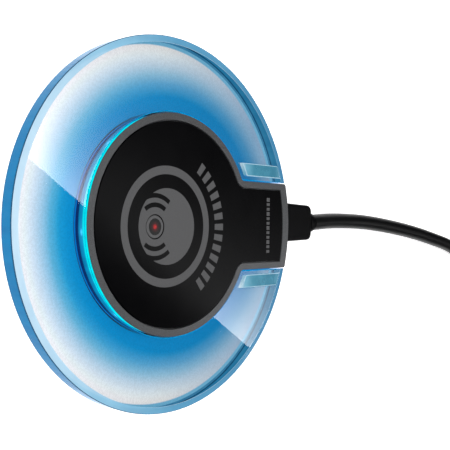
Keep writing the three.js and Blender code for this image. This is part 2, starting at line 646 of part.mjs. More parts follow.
// A moulded grip, its front at Y 0: the outline with its top and bottom edges rounded in two steps.
function mouldedGrip(frontWidth, backWidth, length, height) {
  const layer = (margin, inset) =>
    prism(gripOutline(frontWidth, backWidth, length, margin), inset - height / 2, height / 2 - inset);
  const step = EDGE_STEP * GRIP_EDGE;
  return layer(0, GRIP_EDGE).add(layer(step, step)).add(layer(GRIP_EDGE, 0));
}

function plugPieces() {
  const group = new THREE.Group();
  const grip = mouldedGrip(GRIP_WIDTH, GRIP_BACK_WIDTH, GRIP_LENGTH, GRIP_HEIGHT)
    .translate([0, GRIP_FRONT, SOCKET_AXIS]);
  const [reliefWidth, reliefHeight] = RELIEF_SIZE;
  const relief = barAlongY(
    [0, GRIP_BACK + FINE_FIT, SOCKET_AXIS], RELIEF_LENGTH, reliefHeight / 2, reliefHeight / 2 - RELIEF_TAPER)
    .scale([reliefWidth / reliefHeight, 1, 1]);
  const metalBack = GRIP_FRONT - FINE_FIT;
  const metalFront = metalBack - PLUG_METAL_LENGTH;
  const shell = sleeve(PLUG_METAL, PLUG_WALL, [0, SOCKET_AXIS], metalFront, metalBack);
  const bore = PLUG_METAL.map((side) => side / 2 - PLUG_WALL);
  const insert = block(
    [-bore[0] + FINE_FIT, metalFront + FIT, SOCKET_AXIS - bore[1] + INSERT_PLAY],
    [bore[0] - FINE_FIT, metalBack, SOCKET_AXIS - INSERT_PLAY],
  );
  group.add(piece("plug_overmould", grip, softBlack()));
  group.add(piece("plug_relief", relief, softBlack()));
  group.add(piece("plug_shell", shell, plated()));
  group.add(piece("plug_insert", insert, chipBlack()));
  return inLine(group);
}

// ---- The cord ----

function cordTube(points) {
  const path = new THREE.CatmullRomCurve3(points.map((point) => new THREE.Vector3(...point)));
  const ring = arc(CORD_RADIUS, 0, 2 * Math.PI, CORD_SIDES).slice(0, -1);
  const section = new THREE.Shape(ring.map(([x, y]) => new THREE.Vector2(x, y)));
  const steps = Math.ceil(path.getLength() / (CORD_STEP * CORD_DIAMETER));
  return solid(new THREE.ExtrudeGeometry(section, { steps, bevelEnabled: false, extrudePath: path }));
}

// The outer shape of the coil: its turns side by side, in layers.
function coilBody() {
  const edge = COIL_EDGE * CORD_DIAMETER;
  return turned([
    [COIL_INSIDE, COIL_BASE + edge], [COIL_INSIDE + edge, COIL_BASE],
    [COIL_OUTSIDE - edge, COIL_BASE], [COIL_OUTSIDE, COIL_BASE + edge],
    [COIL_OUTSIDE, COIL_TOP - edge], [COIL_OUTSIDE - edge, COIL_TOP],
    [COIL_INSIDE + edge, COIL_TOP], [COIL_INSIDE, COIL_TOP - edge],
    [COIL_INSIDE, COIL_BASE + edge],
  ], ROUND, COIL_CENTRE);
}

// A strap round the coil's bundle of turns.
function cableTie() {
  const strap = (grow, past) =>
    block(
      [COIL_INSIDE - FIT - grow, -TIE_WIDTH / 2 - past, TIE_THICKNESS - grow],
      [COIL_OUTSIDE + FIT + grow, TIE_WIDTH / 2 + past, COIL_TOP + FIT + grow],
    );
  const band = cut(strap(TIE_THICKNESS, 0), strap(0, CUT));
  return band.rotate([0, 0, TIE_ANGLE]).translate([...COIL_CENTRE, 0]);
}

function cordPieces() {
  const group = new THREE.Group();
  group.add(piece("cord_lead", cordTube(LEAD_POINTS), softBlack()));
  group.add(piece("cord_coil", coilBody(), softBlack()));
  group.add(piece("cord_tail", cordTube(TAIL_POINTS), softBlack()));
  group.add(piece("cable_tie", cableTie(), softBlack()));
  return group;
}

function usbAPieces() {
  const group = new THREE.Group();
  const [x, start] = USB_A_PLACE;
  const [width, length, height] = USB_A_GRIP;
  const gripFront = start + USB_A_RELIEF_LENGTH + FINE_FIT;
  const metalFront = gripFront + length + FINE_FIT;
  const metalEnd = metalFront + USB_A_METAL_LENGTH;
  const [reliefStart, reliefEnd] = USB_A_RELIEF_GROWTH.map((growth) => CORD_RADIUS + growth);
  const relief = barAlongY([x, start, USB_A_AXIS], USB_A_RELIEF_LENGTH, reliefStart, reliefEnd);
  // The grip's round corners face the cord, so it is drawn from its other end and turned.
  const grip = mouldedGrip(width, width, length, height)
    .rotate([0, 0, 180])
    .translate([x, gripFront + length, USB_A_AXIS]);
  const shell = sleeve(USB_A_METAL, USB_A_WALL, [x, USB_A_AXIS], metalFront, metalEnd);
  const bore = USB_A_METAL.map((side) => side / 2 - USB_A_WALL);
  const insertTop = USB_A_AXIS - INSERT_PLAY;
  const insert = block(
    [x - bore[0] + FINE_FIT, metalFront, USB_A_AXIS - bore[1] + INSERT_PLAY],
    [x + bore[0] - FINE_FIT, metalEnd - USB_A_INSERT_SETBACK, insertTop],
  );
  group.add(piece("usb_a_relief", relief, softBlack()));
  group.add(piece("usb_a_overmould", grip, softBlack()));
  group.add(piece("usb_a_shell", shell, plated()));
  group.add(piece("usb_a_insert", insert, whitePlastic()));
  for (let i = 0; i < USB_A_CONTACTS; i += 1) {
    const middle = x + (i - (USB_A_CONTACTS - 1) / 2) * USB_A_CONTACT_PITCH;
    const along = (metalFront + metalEnd) / 2;
    const contact = standing([middle, along], USB_A_CONTACT, insertTop + FINE_FIT);
    group.add(piece(`usb_a_contact_${i + 1}`, contact, gilt()));
  }
  return group;
}

// ---- Assembly ----

const pad = new THREE.Group();
pad.add(discPieces(), housingPieces(), chargingPieces(), boardPieces(), indicatorPieces(), socketPieces());
const cable = new THREE.Group();
cable.add(plugPieces(), cordPieces(), usbAPieces());
const chargingPad = new THREE.Group();
chargingPad.add(pad, cable);

export default chargingPad;
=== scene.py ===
"""The looks of a round wireless charging pad and its cable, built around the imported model.

Everything is in metres. +Z is up, and the pad's tab, its plug and the cable point along +Y.
"""

import math

import bpy
from mathutils import Matrix, Quaternion, Vector


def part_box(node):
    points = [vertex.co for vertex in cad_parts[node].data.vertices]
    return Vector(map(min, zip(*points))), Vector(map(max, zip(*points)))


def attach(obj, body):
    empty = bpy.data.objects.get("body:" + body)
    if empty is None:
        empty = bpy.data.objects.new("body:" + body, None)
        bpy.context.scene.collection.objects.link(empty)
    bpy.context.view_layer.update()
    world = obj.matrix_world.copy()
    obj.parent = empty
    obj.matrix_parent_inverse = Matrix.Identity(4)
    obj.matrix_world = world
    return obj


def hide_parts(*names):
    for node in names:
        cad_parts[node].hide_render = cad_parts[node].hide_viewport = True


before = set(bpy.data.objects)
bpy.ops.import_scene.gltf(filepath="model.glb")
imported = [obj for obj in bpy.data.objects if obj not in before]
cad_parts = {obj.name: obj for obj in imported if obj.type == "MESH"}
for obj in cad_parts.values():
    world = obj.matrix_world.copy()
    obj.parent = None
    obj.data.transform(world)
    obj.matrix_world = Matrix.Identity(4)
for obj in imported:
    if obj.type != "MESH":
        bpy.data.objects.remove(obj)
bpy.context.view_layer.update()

bl_info = {
    "name": "Round charging pad",
    "version": (1, 0, 0),
    "blender": (4, 5, 0),
    "location": "View3D > Sidebar > Charging pad",
    "description": "Models a clear, blue-lit wireless charging pad with its cable",
    "category": "Object",
}

MM = 0.001
PAD = "pad"
CABLE = "cable"
TURN = 2 * math.pi

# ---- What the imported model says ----

DISC_LOW, DISC_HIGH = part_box("crystal_disc")
FILM_LOW, FILM_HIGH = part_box("diffuser_film")
COVER_LOW, COVER_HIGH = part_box("top_cover")
PLATE_LOW, PLATE_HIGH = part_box("face_plate")
RING_LOW, RING_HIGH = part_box("light_ring")
FLOOR_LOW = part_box("bottom_cover")[0]
WINDOW_LOW, WINDOW_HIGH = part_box("side_window_2")
LENS_LOW, LENS_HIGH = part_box("indicator_lens")
GRIP_LOW, GRIP_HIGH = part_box("plug_overmould")
RELIEF_LOW, RELIEF_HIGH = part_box("plug_relief")
SOCKET_LOW, SOCKET_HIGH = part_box("socket_shell")
COIL_LOW, COIL_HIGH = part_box("cord_coil")
FOOT_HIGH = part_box("foot_ring")[1]
TAB_FOOT_LOW, TAB_FOOT_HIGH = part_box("tab_foot")
USB_RELIEF_LOW, USB_RELIEF_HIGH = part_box("usb_a_relief")
USB_GRIP_LOW, USB_GRIP_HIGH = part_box("usb_a_overmould")
USB_SHELL_LOW, USB_SHELL_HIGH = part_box("usb_a_shell")

DISC_RADIUS = DISC_HIGH.x
DISC_TOP = DISC_HIGH.z
HUB_RADIUS = -COVER_LOW.y
TAB_END = COVER_HIGH.y
TAB_HALF_WIDTH = max(
    abs(v.co.x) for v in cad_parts["top_cover"].data.vertices if v.co.y > 1.2 * HUB_RADIUS)
RIM_WIDTH = 1.9 * MM  # the gunmetal border, seen from above
FIT = PLATE_LOW.y - COVER_LOW.y - RIM_WIDTH  # clearance between pieces
TAB_RIM_WIDTH = TAB_END - PLATE_HIGH.y - FIT
RIM_WALL = 0.8 * MM
RIM_DEPTH = 1.5 * MM
RIM_LIP = 0.4 * MM
SEAT_DROP = 1.2 * MM
RING_THICKNESS = 1.5 * MM
RING_STEP = COVER_HIGH.z - RIM_DEPTH - FIT
NECK_FILLET = 1.6 * MM
TAB_CORNER = 0.8 * MM
LEAST_RADIUS = 0.2 * MM
LAND_WIDTH = 1.8 * MM  # the lower step along the disc's rim
LAND_DROP = 0.25 * MM
LENS_PLACE = Vector(((LENS_LOW.x + LENS_HIGH.x) / 2, (LENS_LOW.y + LENS_HIGH.y) / 2))
LENS_RADIUS = (LENS_HIGH.x - LENS_LOW.x) / 2
LENS_CLEAR = 2.1 * MM  # the part of the lens that isn't printed over
LAMP_FIRST = math.radians(-227)
LAMP_PITCH = math.radians(47)

# ---- The stage's places ----

CAMERA_PLACE = Vector((-0.051, -138.883, 148.668)) * MM
CAMERA_TILT = math.radians(41.7157)  # below the level
CAMERA_ROLL = math.radians(90.6114)
SOFTBOX_PLACE = (0, -0.5, 1.0)
SOFTBOX_SIZE = (1.2, 1.2)
CARD_SIZE = (0.26, 0.64)
CARD_EDGE = Vector((193.8, 0, -360.4)).normalized()  # which way the card's bright edge runs
CARD_EDGE_MIDDLE = Vector((0.0183, 0.4, 0.4918))
LIT_SHARE = 0.66  # of a glowing finish's colour that it gives off
TAKEN_SHARE = 0.26  # of its colour that answers the room's light

# ---- The cord's route ----

CORD_DIAMETER = 5.2 * MM
LEAD_POINTS = [
    (-1.1, 65.7, 3.9),
    (-1.4, 70, 3.75),
    (-1.8, 78, 3.2),
    (-1.9, 88, 2.75),
    (-1.7, 98.5, 2.65),
    (-0.9, 111, 2.65),
    (0.5, 125.5, 2.65),
    (2.4, 140.5, 2.65),
    (5.0, 156.5, 2.65),
    (7.9, 171.5, 2.65),
    (10.8, 181, 2.65),
    (13.2, 188.5, 2.65),
]
TAIL_POINTS = [
    (8.9, 194.2, 8.5),
    (13.2, 196.4, 8.6),
    (17.8, 199.5, 8.0),
    (22.2, 203.6, 6.6),
    (26.2, 208.6, 5.2),
    (28.4, 213.8, 4.4),
    (29, 219.7, 4.2),
]
COIL_CENTRE = (COIL_LOW + COIL_HIGH) / 2
COIL_RADIUS = COIL_HIGH.x - COIL_CENTRE.x - CORD_DIAMETER / 2  # centre of the outermost turn
COIL_STEPS = 24  # points to a turn
COIL_LAST = 270  # degrees of the last turn

# Steps of the round outlines.
HUB_STEPS = 120
RIM_STEPS = 180
CORNER_STEPS = 6
ROUND_STEPS = 48
JOIN = 0.001 * MM  # points closer than this are one

SMOOTH_ANGLE = math.radians(35)


def colour(red, green, blue):
    """A screen colour, from 0 to 255, as the linear one that shaders take."""
    def linear(value):
        value /= 255
        return value / 12.92 if value <= 0.04045 else ((value + 0.055) / 1.055) ** 2.4
    return (linear(red), linear(green), linear(blue), 1.0)


WHITE = colour(255, 255, 255)
BLACK = colour(0, 0, 0)


# ---- Modelling ----

def ready():
    """Leaves edit mode and lets go of everything, so that an operator acts only on what comes next."""
    if bpy.context.object and bpy.context.object.mode == "EDIT":
        bpy.ops.object.mode_set(mode="OBJECT")
    bpy.ops.object.select_all(action="DESELECT")


def pick(piece):
    ready()
    piece.select_set(True)
    bpy.context.view_layer.objects.active = piece


def close(piece):
    """Merges a shape's doubles and turns its faces outwards, in edit mode."""
    bpy.ops.mesh.select_all(action="SELECT")
    bpy.ops.mesh.remove_doubles(threshold=JOIN)
    bpy.ops.mesh.normals_make_consistent(inside=False)
    bpy.ops.object.mode_set(mode="OBJECT")
    return piece


class Pen:
    """Draws an outline from a start point, one line or arc at a time."""

    def __init__(self, name, start):
        ready()
        bpy.ops.mesh.primitive_circle_add(vertices=3, radius=MM, location=start)
        self.piece = bpy.context.object
        self.piece.name = name
        bpy.ops.object.transform_apply(location=True)
        bpy.ops.object.mode_set(mode="EDIT")
        bpy.ops.mesh.select_all(action="SELECT")
        bpy.ops.mesh.merge(type="CENTER")
        self.at = Vector(start)

    def line(self, x, y, z=None):
        step = Vector((x, y, self.at.z if z is None else z)) - self.at
        bpy.ops.mesh.extrude_region_move(TRANSFORM_OT_translate={"value": step})
        self.at += step

    def arc(self, centre, angle, steps=CORNER_STEPS):
        """Turns about an upright axis through a place, counter-clockwise for a positive angle."""
        middle = Vector((*centre, self.at.z))
        bpy.ops.mesh.spin(steps=steps, angle=-angle, center=middle, axis=(0, 0, 1))
        self.at = middle + Matrix.Rotation(angle, 3, "Z") @ (self.at - middle)

    def raise_to(self, top):
        """Closes the outline into a face and extrudes it up into a solid."""
        bpy.ops.mesh.select_all(action="SELECT")
        bpy.ops.mesh.remove_doubles(threshold=JOIN)
        bpy.ops.mesh.edge_face_add()
        bpy.ops.mesh.extrude_region_move(TRANSFORM_OT_translate={"value": (0, 0, top - self.at.z)})
        return close(self.piece)


def block(name, low, high):
    """A plain box between two corners, to cut with or to shape further."""
    low, high = Vector(low), Vector(high)
    ready()
    bpy.ops.mesh.primitive_cube_add(size=1, location=(low + high) / 2, scale=high - low)
    bpy.ops.object.transform_apply(location=True, rotation=True, scale=True)
    bpy.context.object.name = name
    return bpy.context.object


def turned(name, profile, centre=(0, 0, 0), axis=(0, 0, 1), steps=ROUND_STEPS):
    """A round piece, from a profile of distances from its axis and places along it."""
    axis = Vector(axis)
    outwards = axis.orthogonal().normalized()
    places = [Vector(centre) + radius * outwards + along * axis for radius, along in profile]
    pen = Pen(name, places[0])
    for place in places[1:]:
        pen.line(*place)
    bpy.ops.mesh.select_all(action="SELECT")
    bpy.ops.mesh.spin(steps=steps, angle=TURN, center=centre, axis=axis)
    return close(pen.piece)


def combine(piece, operation, tools):
    for tool in tools:
        pick(piece)
        modifier = piece.modifiers.new("Cut", "BOOLEAN")
        modifier.operation = operation
        modifier.object = tool
        modifier.solver = "EXACT"
        bpy.ops.object.modifier_apply(modifier=modifier.name)
        bpy.data.objects.remove(tool)
    return piece


def cut(piece, *tools):
    return combine(piece, "DIFFERENCE", tools)


def weld(piece, *others):
    return combine(piece, "UNION", others)


def smooth(piece):
    """Shades a piece smooth up to its sharp edges, with its flat faces left flat."""
    pick(piece)
    bpy.ops.object.shade_smooth_by_angle(angle=SMOOTH_ANGLE)
    modifier = piece.modifiers.new("Normals", "WEIGHTED_NORMAL")
    modifier.keep_sharp = True
    bpy.ops.object.modifier_apply(modifier=modifier.name)
    return piece


def bevel(piece, width, segments=3, limit=40):
    """Rounds a piece's sharp edges."""
    pick(piece)
    modifier = piece.modifiers.new("Edges", "BEVEL")
    modifier.width = width
    modifier.segments = segments
    modifier.limit_method = "ANGLE"
    modifier.angle_limit = math.radians(limit)
    bpy.ops.object.modifier_apply(modifier=modifier.name)
    return smooth(piece)


def paint(piece, finish, test=None):
    """Gives a finish to the faces whose middle and normal pass a test, or to all of them."""
    piece.data.materials.append(finish)
    for face in piece.data.polygons:
        if test is None or test(face.center, face.normal):
            face.material_index = len(piece.data.materials) - 1
    return piece


def give(piece, body, slot, *nodes):
    """Puts a finished piece on its body, in place of the nodes it stands for. The slot argument is not used.
    """
    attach(piece, body)
    if nodes:
        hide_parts(*nodes)
    return piece


# ---- Outlines of the housing and the disc ----

def neck_shape(margin):
    """Where the round hub meets the tab: its radius, the tab's half width, the fillet, and its place."""
    hub = HUB_RADIUS + margin
    half = TAB_HALF_WIDTH + margin
    neck = max(NECK_FILLET - margin, LEAST_RADIUS)
    neck_y = math.sqrt((hub + neck) ** 2 - (half + neck) ** 2)
    return hub, half, neck, neck_y, math.atan2(neck_y, half + neck)


def draw_hub(pen, margin):
    """Draws the left neck, the hub round through -Y, and the right neck."""
    _, half, neck, neck_y, turn = neck_shape(margin)
    pen.arc((-half - neck, neck_y), -turn)
    pen.arc((0, 0), math.pi + 2 * turn, HUB_STEPS)
    pen.arc((half + neck, neck_y), -turn)


def keyhole(name, margin, low, high, end=None):
    """A solid of the housing's outline, grown by a margin, whose tab ends along the disc's rim."""
    _, half, _, neck_y, _ = neck_shape(margin)
    end = TAB_END + margin if end is None else end
    corner = max(TAB_CORNER + margin, LEAST_RADIUS)
    corner_y = math.sqrt((end - corner) ** 2 - (half - corner) ** 2)
    turn = math.atan2(corner_y, half - corner)
    pen = Pen(name, (-half, neck_y, low))
    draw_hub(pen, margin)
    pen.line(half, corner_y)
    pen.arc((half - corner, corner_y), turn)
    pen.arc((0, 0), math.pi - 2 * turn, ROUND_STEPS // 4)
    pen.arc((corner - half, corner_y), turn)
    pen.line(-half, neck_y)
    return pen.raise_to(high)


def open_disc(name, radius, margin, low, high):
    """A solid disc with the keyhole's opening, run out through its rim."""
    _, half, _, neck_y, _ = neck_shape(margin)
    mouth = math.asin(half / radius)
    rim_y = radius * math.cos(mouth)
    pen = Pen(name, (half, rim_y, low))
    pen.arc((0, 0), 2 * mouth - TURN, RIM_STEPS)
    pen.line(-half, neck_y)
    draw_hub(pen, margin)
    pen.line(half, rim_y)
    return pen.raise_to(high)


def window_shape(name, side, margin, low, high):
    """A solid between two arcs about the disc's centre, beside the tab."""
    near = WINDOW_LOW.x - margin
    far = WINDOW_HIGH.x + margin
    inner = math.hypot(WINDOW_HIGH.x, WINDOW_LOW.y) - margin
    outer = math.hypot(WINDOW_LOW.x, WINDOW_HIGH.y) + margin
    pen = Pen(name, (side * near, math.sqrt(inner ** 2 - near ** 2), low))
    pen.line(side * near, math.sqrt(outer ** 2 - near ** 2))
    pen.arc((0, 0), side * (math.asin(near / outer) - math.asin(far / outer)))
    pen.line(side * far, math.sqrt(inner ** 2 - far ** 2))
    pen.arc((0, 0), side * (math.asin(far / inner) - math.asin(near / inner)))
    return pen.raise_to(high)


# ---- Finishes ----

class Finish:
    """A material in the making, with short calls that add its nodes and wire them."""

    def __init__(self, name, **sockets):
        self.material = bpy.data.materials.new(name)
        self.material.use_nodes = True
        self.tree = self.material.node_tree
        self.shader = self.tree.nodes["Principled BSDF"]
        self.output = self.tree.nodes["Material Output"]
        self.place = self.node("TexCoord").outputs["Object"]
        self.set(self.shader, **sockets)

    def node(self, kind, **settings):
        node = self.tree.nodes.new("ShaderNode" + kind)
        for name, value in settings.items():
            setattr(node, name, value)
        return node

    def set(self, node, **sockets):
        """Sets sockets to a value, or wires another node's output to them."""
        for name, value in sockets.items():
            socket = node.inputs[name.replace("_", " ")]
            if isinstance(value, bpy.types.NodeSocket):
                self.tree.links.new(value, socket)
            else:
                socket.default_value = value
        return node

    def maths(self, operation, *values, clamp=False):
        node = self.node("Math", operation=operation, use_clamp=clamp)
        for socket, value in zip(node.inputs, values):
            if isinstance(value, bpy.types.NodeSocket):
                self.tree.links.new(value, socket)
            else:
                socket.default_value = value
        return node.outputs[0]

    def axes(self, place=None):
        node = self.node("SeparateXYZ")
        self.tree.links.new(self.place if place is None else place, node.inputs[0])
        return node.outputs

    def moved(self, offset=(0, 0, 0), scale=(1, 1, 1)):
        node = self.node("Mapping")
        node.inputs["Location"].default_value = offset
        node.inputs["Scale"].default_value = scale
        self.tree.links.new(self.place, node.inputs["Vector"])
        return node.outputs[0]

    def radius(self, centre=(0, 0)):
        """Distance from an upright axis."""
        x, y, _ = self.axes(self.moved((-centre[0], -centre[1], 0)))
        return self.maths("SQRT", self.maths("ADD", self.maths("POWER", x, 2), self.maths("POWER", y, 2)))

    def bearing(self):
        """The angle about the pad's upright axis."""
        x, y, _ = self.axes()
        return self.maths("ARCTAN2", y, x)

    def span(self, value, low, high):
        """Where a value lies between two others, from 0 to 1."""
        node = self.node("MapRange")
        self.tree.links.new(value, node.inputs["Value"])
        node.inputs["From Min"].default_value = low
        node.inputs["From Max"].default_value = high
        return node.outputs[0]

    def ramp(self, value, *stops, smooth=False):
        """Colours along a value. Each stop is a place from 0 to 1 and its colour."""
        node = self.node("ValToRGB")
        elements = node.color_ramp.elements
        node.color_ramp.interpolation = "EASE" if smooth else "LINEAR"
        elements.remove(elements[-1])
        elements[0].position, elements[0].color = stops[0]
        for place, tone in stops[1:]:
            elements.new(place).color = tone
        self.tree.links.new(value, node.inputs[0])
        return node.outputs[0]

    def mix(self, share, first, second, blend="MIX"):
        node = self.node("Mix", data_type="RGBA", blend_type=blend)
        for index, value in zip((0, 6, 7), (share, first, second)):
            if isinstance(value, bpy.types.NodeSocket):
                self.tree.links.new(value, node.inputs[index])
            else:
                node.inputs[index].default_value = value
        return node.outputs[2]

    def noise(self, size, detail=2.0, stretch=(1, 1, 1), place=None):
        """Soft noise from 0 to 1 whose spots are about a size across."""
        node = self.node("TexNoise")
        node.inputs["Scale"].default_value = 1 / size
        node.inputs["Detail"].default_value = detail
        if place is None:
            place = self.moved(scale=stretch)
        self.tree.links.new(place, node.inputs["Vector"])
        return node.outputs["Fac"]

    def lit(self, tone, glow):
        """A colour that the surface partly gives off and partly takes from the room's light."""
        self.set(self.shader, Emission_Color=tone, Emission_Strength=LIT_SHARE * glow)
        self.set(self.shader, Base_Color=self.mix(1.0, tone, (*[TAKEN_SHARE] * 3, 1.0), "MULTIPLY"))
        self.set(self.shader, Specular_IOR_Level=0.05)
        return self

    def grain(self, size, depth, strength=0.4, detail=2.0, stretch=(1, 1, 1)):
        """Fine relief on the shader's normals."""
        bump = self.node("Bump")
        self.set(bump, Strength=strength, Distance=depth, Height=self.noise(size, detail, stretch))
        self.set(self.shader, Normal=bump.outputs[0])
        return self

    def varied_roughness(self, low, high, size):
        spots = self.node("MapRange")
        self.set(spots, Value=self.noise(size, 3.0), To_Min=low, To_Max=high)
        self.set(self.shader, Roughness=spots.outputs[0])
        return self

    def glass_over(self, base, share):
        """Shows a share of a base shader, or nothing of it, and lets the rest through clear."""
        clear = self.node("BsdfTransparent")
        mix = self.node("MixShader")
        self.tree.links.new(clear.outputs[0], mix.inputs[1])
        self.tree.links.new(base, mix.inputs[2])
        if isinstance(share, bpy.types.NodeSocket):
            self.tree.links.new(share, mix.inputs[0])
        else:
            mix.inputs[0].default_value = share
        self.tree.links.new(mix.outputs[0], self.output.inputs["Surface"])
        return self


def moulded(name, tone, roughness, size=0.12 * MM, depth=0.004 * MM, spread=0.06, **sockets):
    """Moulded plastic or rubber, with its fine grain and a little unevenness of gloss and shade."""
    finish = Finish(name, **sockets)
    shade = finish.noise(4 * MM, 3.0)
    darker = tuple(0.8 * value for value in tone[:3]) + (1.0,)
    lighter = tuple(min(1.0, 1.2 * value) for value in tone[:3]) + (1.0,)
    finish.set(finish.shader, Base_Color=finish.ramp(shade, (0.3, darker), (0.7, lighter)))
    finish.varied_roughness(roughness - spread, roughness + spread, 2 * MM)
    finish.grain(size, depth)
    return finish.material


def metal(name, tone, roughness, stretch=(1, 1, 1), **sockets):
    """Metal with fine drawn lines along the axis where its stretch is small."""
    finish = Finish(name, Metallic=1.0, **sockets)
    lines = finish.noise(0.15 * MM, 3.0, stretch)
    darker = tuple(0.82 * value for value in tone[:3]) + (1.0,)
    finish.set(finish.shader, Base_Color=finish.ramp(lines, (0.3, darker), (0.7, tone)))
    finish.varied_roughness(roughness - 0.06, roughness + 0.06, 1.5 * MM)
    finish.grain(0.2 * MM, 0.003 * MM, stretch=stretch)
    return finish.material


def crystal_clear():
    """Clear acrylic with a hard gloss, seen through without bending what lies under it."""
    finish = Finish("crystal_clear", Base_Color=colour(0, 0, 0), Roughness=0.03)
    finish.tree.nodes.remove(finish.shader)
    gloss = finish.node("BsdfGlossy")
    gloss.inputs["Color"].default_value = WHITE
    gloss.inputs["Roughness"].default_value = 0.02
    haze = finish.node("Bump")
    finish.set(haze, Strength=0.05, Distance=0.01 * MM, Height=finish.noise(6 * MM))
    finish.set(gloss, Normal=haze.outputs[0])
    facing = finish.node("LayerWeight").outputs["Facing"]
    share = finish.maths("MULTIPLY_ADD", finish.maths("POWER", facing, 5), 0.96, 0.04)
    finish.glass_over(gloss.outputs[0], share)
    return finish.material


def crystal_inside(look):
    """The disc's underside: clear with a faint tint, and lit in the narrow margin past the film's rim."""
    finish = Finish("crystal_inside", Roughness=0.3)
    cloud = finish.ramp(finish.noise(4 * MM, 3.0), (0.3, colour(44, 116, 158)), (0.7, colour(70, 142, 180)))
    finish.lit(cloud, look.glow)
    tint = finish.maths("MULTIPLY", finish.noise(8 * MM), 0.02)
    margin = finish.span(finish.radius(), FILM_HIGH.x - 0.5 * MM, FILM_HIGH.x - 0.3 * MM)
    finish.glass_over(finish.shader.outputs[0], finish.maths("MAXIMUM", tint, margin))
    return finish.material


def glowing(name, tone, strength, opacity=1.0, **sockets):
    """A surface that gives off its own colour and takes some light, more or less see-through."""
    finish = Finish(name, **sockets)
    cloud = finish.ramp(finish.noise(2 * MM), (0.3, colour(225, 225, 225)), (0.7, WHITE))
    finish.lit(finish.mix(1.0, cloud, tone, "MULTIPLY"), strength)
    if opacity < 1:
        finish.glass_over(finish.shader.outputs[0], opacity)
    return finish.material


def crystal_wall(look):
    """The disc's outer wall, filled with painted blue light, with streaks, and darker top and bottom edges
    that are painted shade.
    """
    finish = Finish("crystal_wall", Roughness=0.12)
    height = finish.span(finish.axes()[2], DISC_LOW.z, DISC_TOP - LAND_DROP)
    y = finish.span(finish.axes()[1], -DISC_RADIUS, DISC_RADIUS)
    # Painted light and shade by height: bright blue in the middle, painted shade towards the wall's bottom
    # and top edges.
    bands = finish.ramp(
        height,
        (0.0, colour(20, 96, 140)), (0.06, colour(4, 112, 160)), (0.16, colour(2, 130, 188)),
        (0.86, colour(3, 132, 190)), (0.94, colour(10, 112, 158)), (1.0, colour(30, 92, 128)))
    # Painted light on the far side of the wall: other tones of the glow, lighter in the middle, with painted
    # shade at its edges. Along y the wall turns from the near bands to these.
    far = finish.ramp(
        height,
        (0.0, colour(24, 74, 112)), (0.12, colour(56, 138, 176)), (0.5, colour(46, 132, 172)),
        (0.8, colour(70, 150, 186)), (0.93, colour(38, 118, 156)), (1.0, colour(16, 60, 96)))
    streaks = finish.noise(3 * MM, 3.0, (1, 1, 0.12))
    wash = finish.ramp(streaks, (0.35, colour(150, 190, 215)), (0.65, WHITE))
    tone = finish.mix(0.35, finish.mix(y, bands, far), wash, "MULTIPLY")
    return finish.lit(tone, look.glow).material


def crystal_land(look):
    """The low step along the disc's rim, with painted glow and painted light: palest at the side away from
    the tab, darker and more see-through towards it.
    """
    finish = Finish("crystal_land", Roughness=0.1)
    y = finish.span(finish.axes()[1], -DISC_RADIUS, DISC_RADIUS)
    cloud = finish.noise(5 * MM, 2.0)
    # Painted light: the step's tone darkens from the side away from the tab towards the tab.
    tone = finish.ramp(
        y, (0.0, colour(204, 235, 254)), (0.25, colour(160, 212, 240)), (0.5, colour(115, 180, 215)),
        (0.75, colour(104, 168, 206)), (1.0, colour(84, 148, 190)))
    tone = finish.mix(0.25, tone, finish.ramp(cloud, (0.3, colour(190, 210, 225)), (0.7, WHITE)), "MULTIPLY")
    finish.lit(tone, look.glow)
    # The painted light also lets more of what lies under show through towards the tab.
    share = finish.maths("SUBTRACT", 0.95, finish.maths("MULTIPLY", y, 0.35))
    finish.glass_over(finish.shader.outputs[0], share)
    return finish.material


def painted_step_highlight(look):
    """A painted highlight along the step's upright edge, which dims towards the tab."""
    finish = Finish("painted_step_highlight", Roughness=0.2)
    y = finish.span(finish.axes()[1], -DISC_RADIUS, DISC_RADIUS)
    cloud = finish.ramp(finish.noise(4 * MM), (0.3, colour(215, 225, 232)), (0.7, WHITE))
    line = finish.ramp(
        y, (0.0, colour(240, 250, 255)), (0.5, colour(190, 222, 240)), (1.0, colour(104, 168, 204)))
    finish.lit(finish.mix(1.0, cloud, line, "MULTIPLY"), 1.1 * look.glow)
    return finish.material


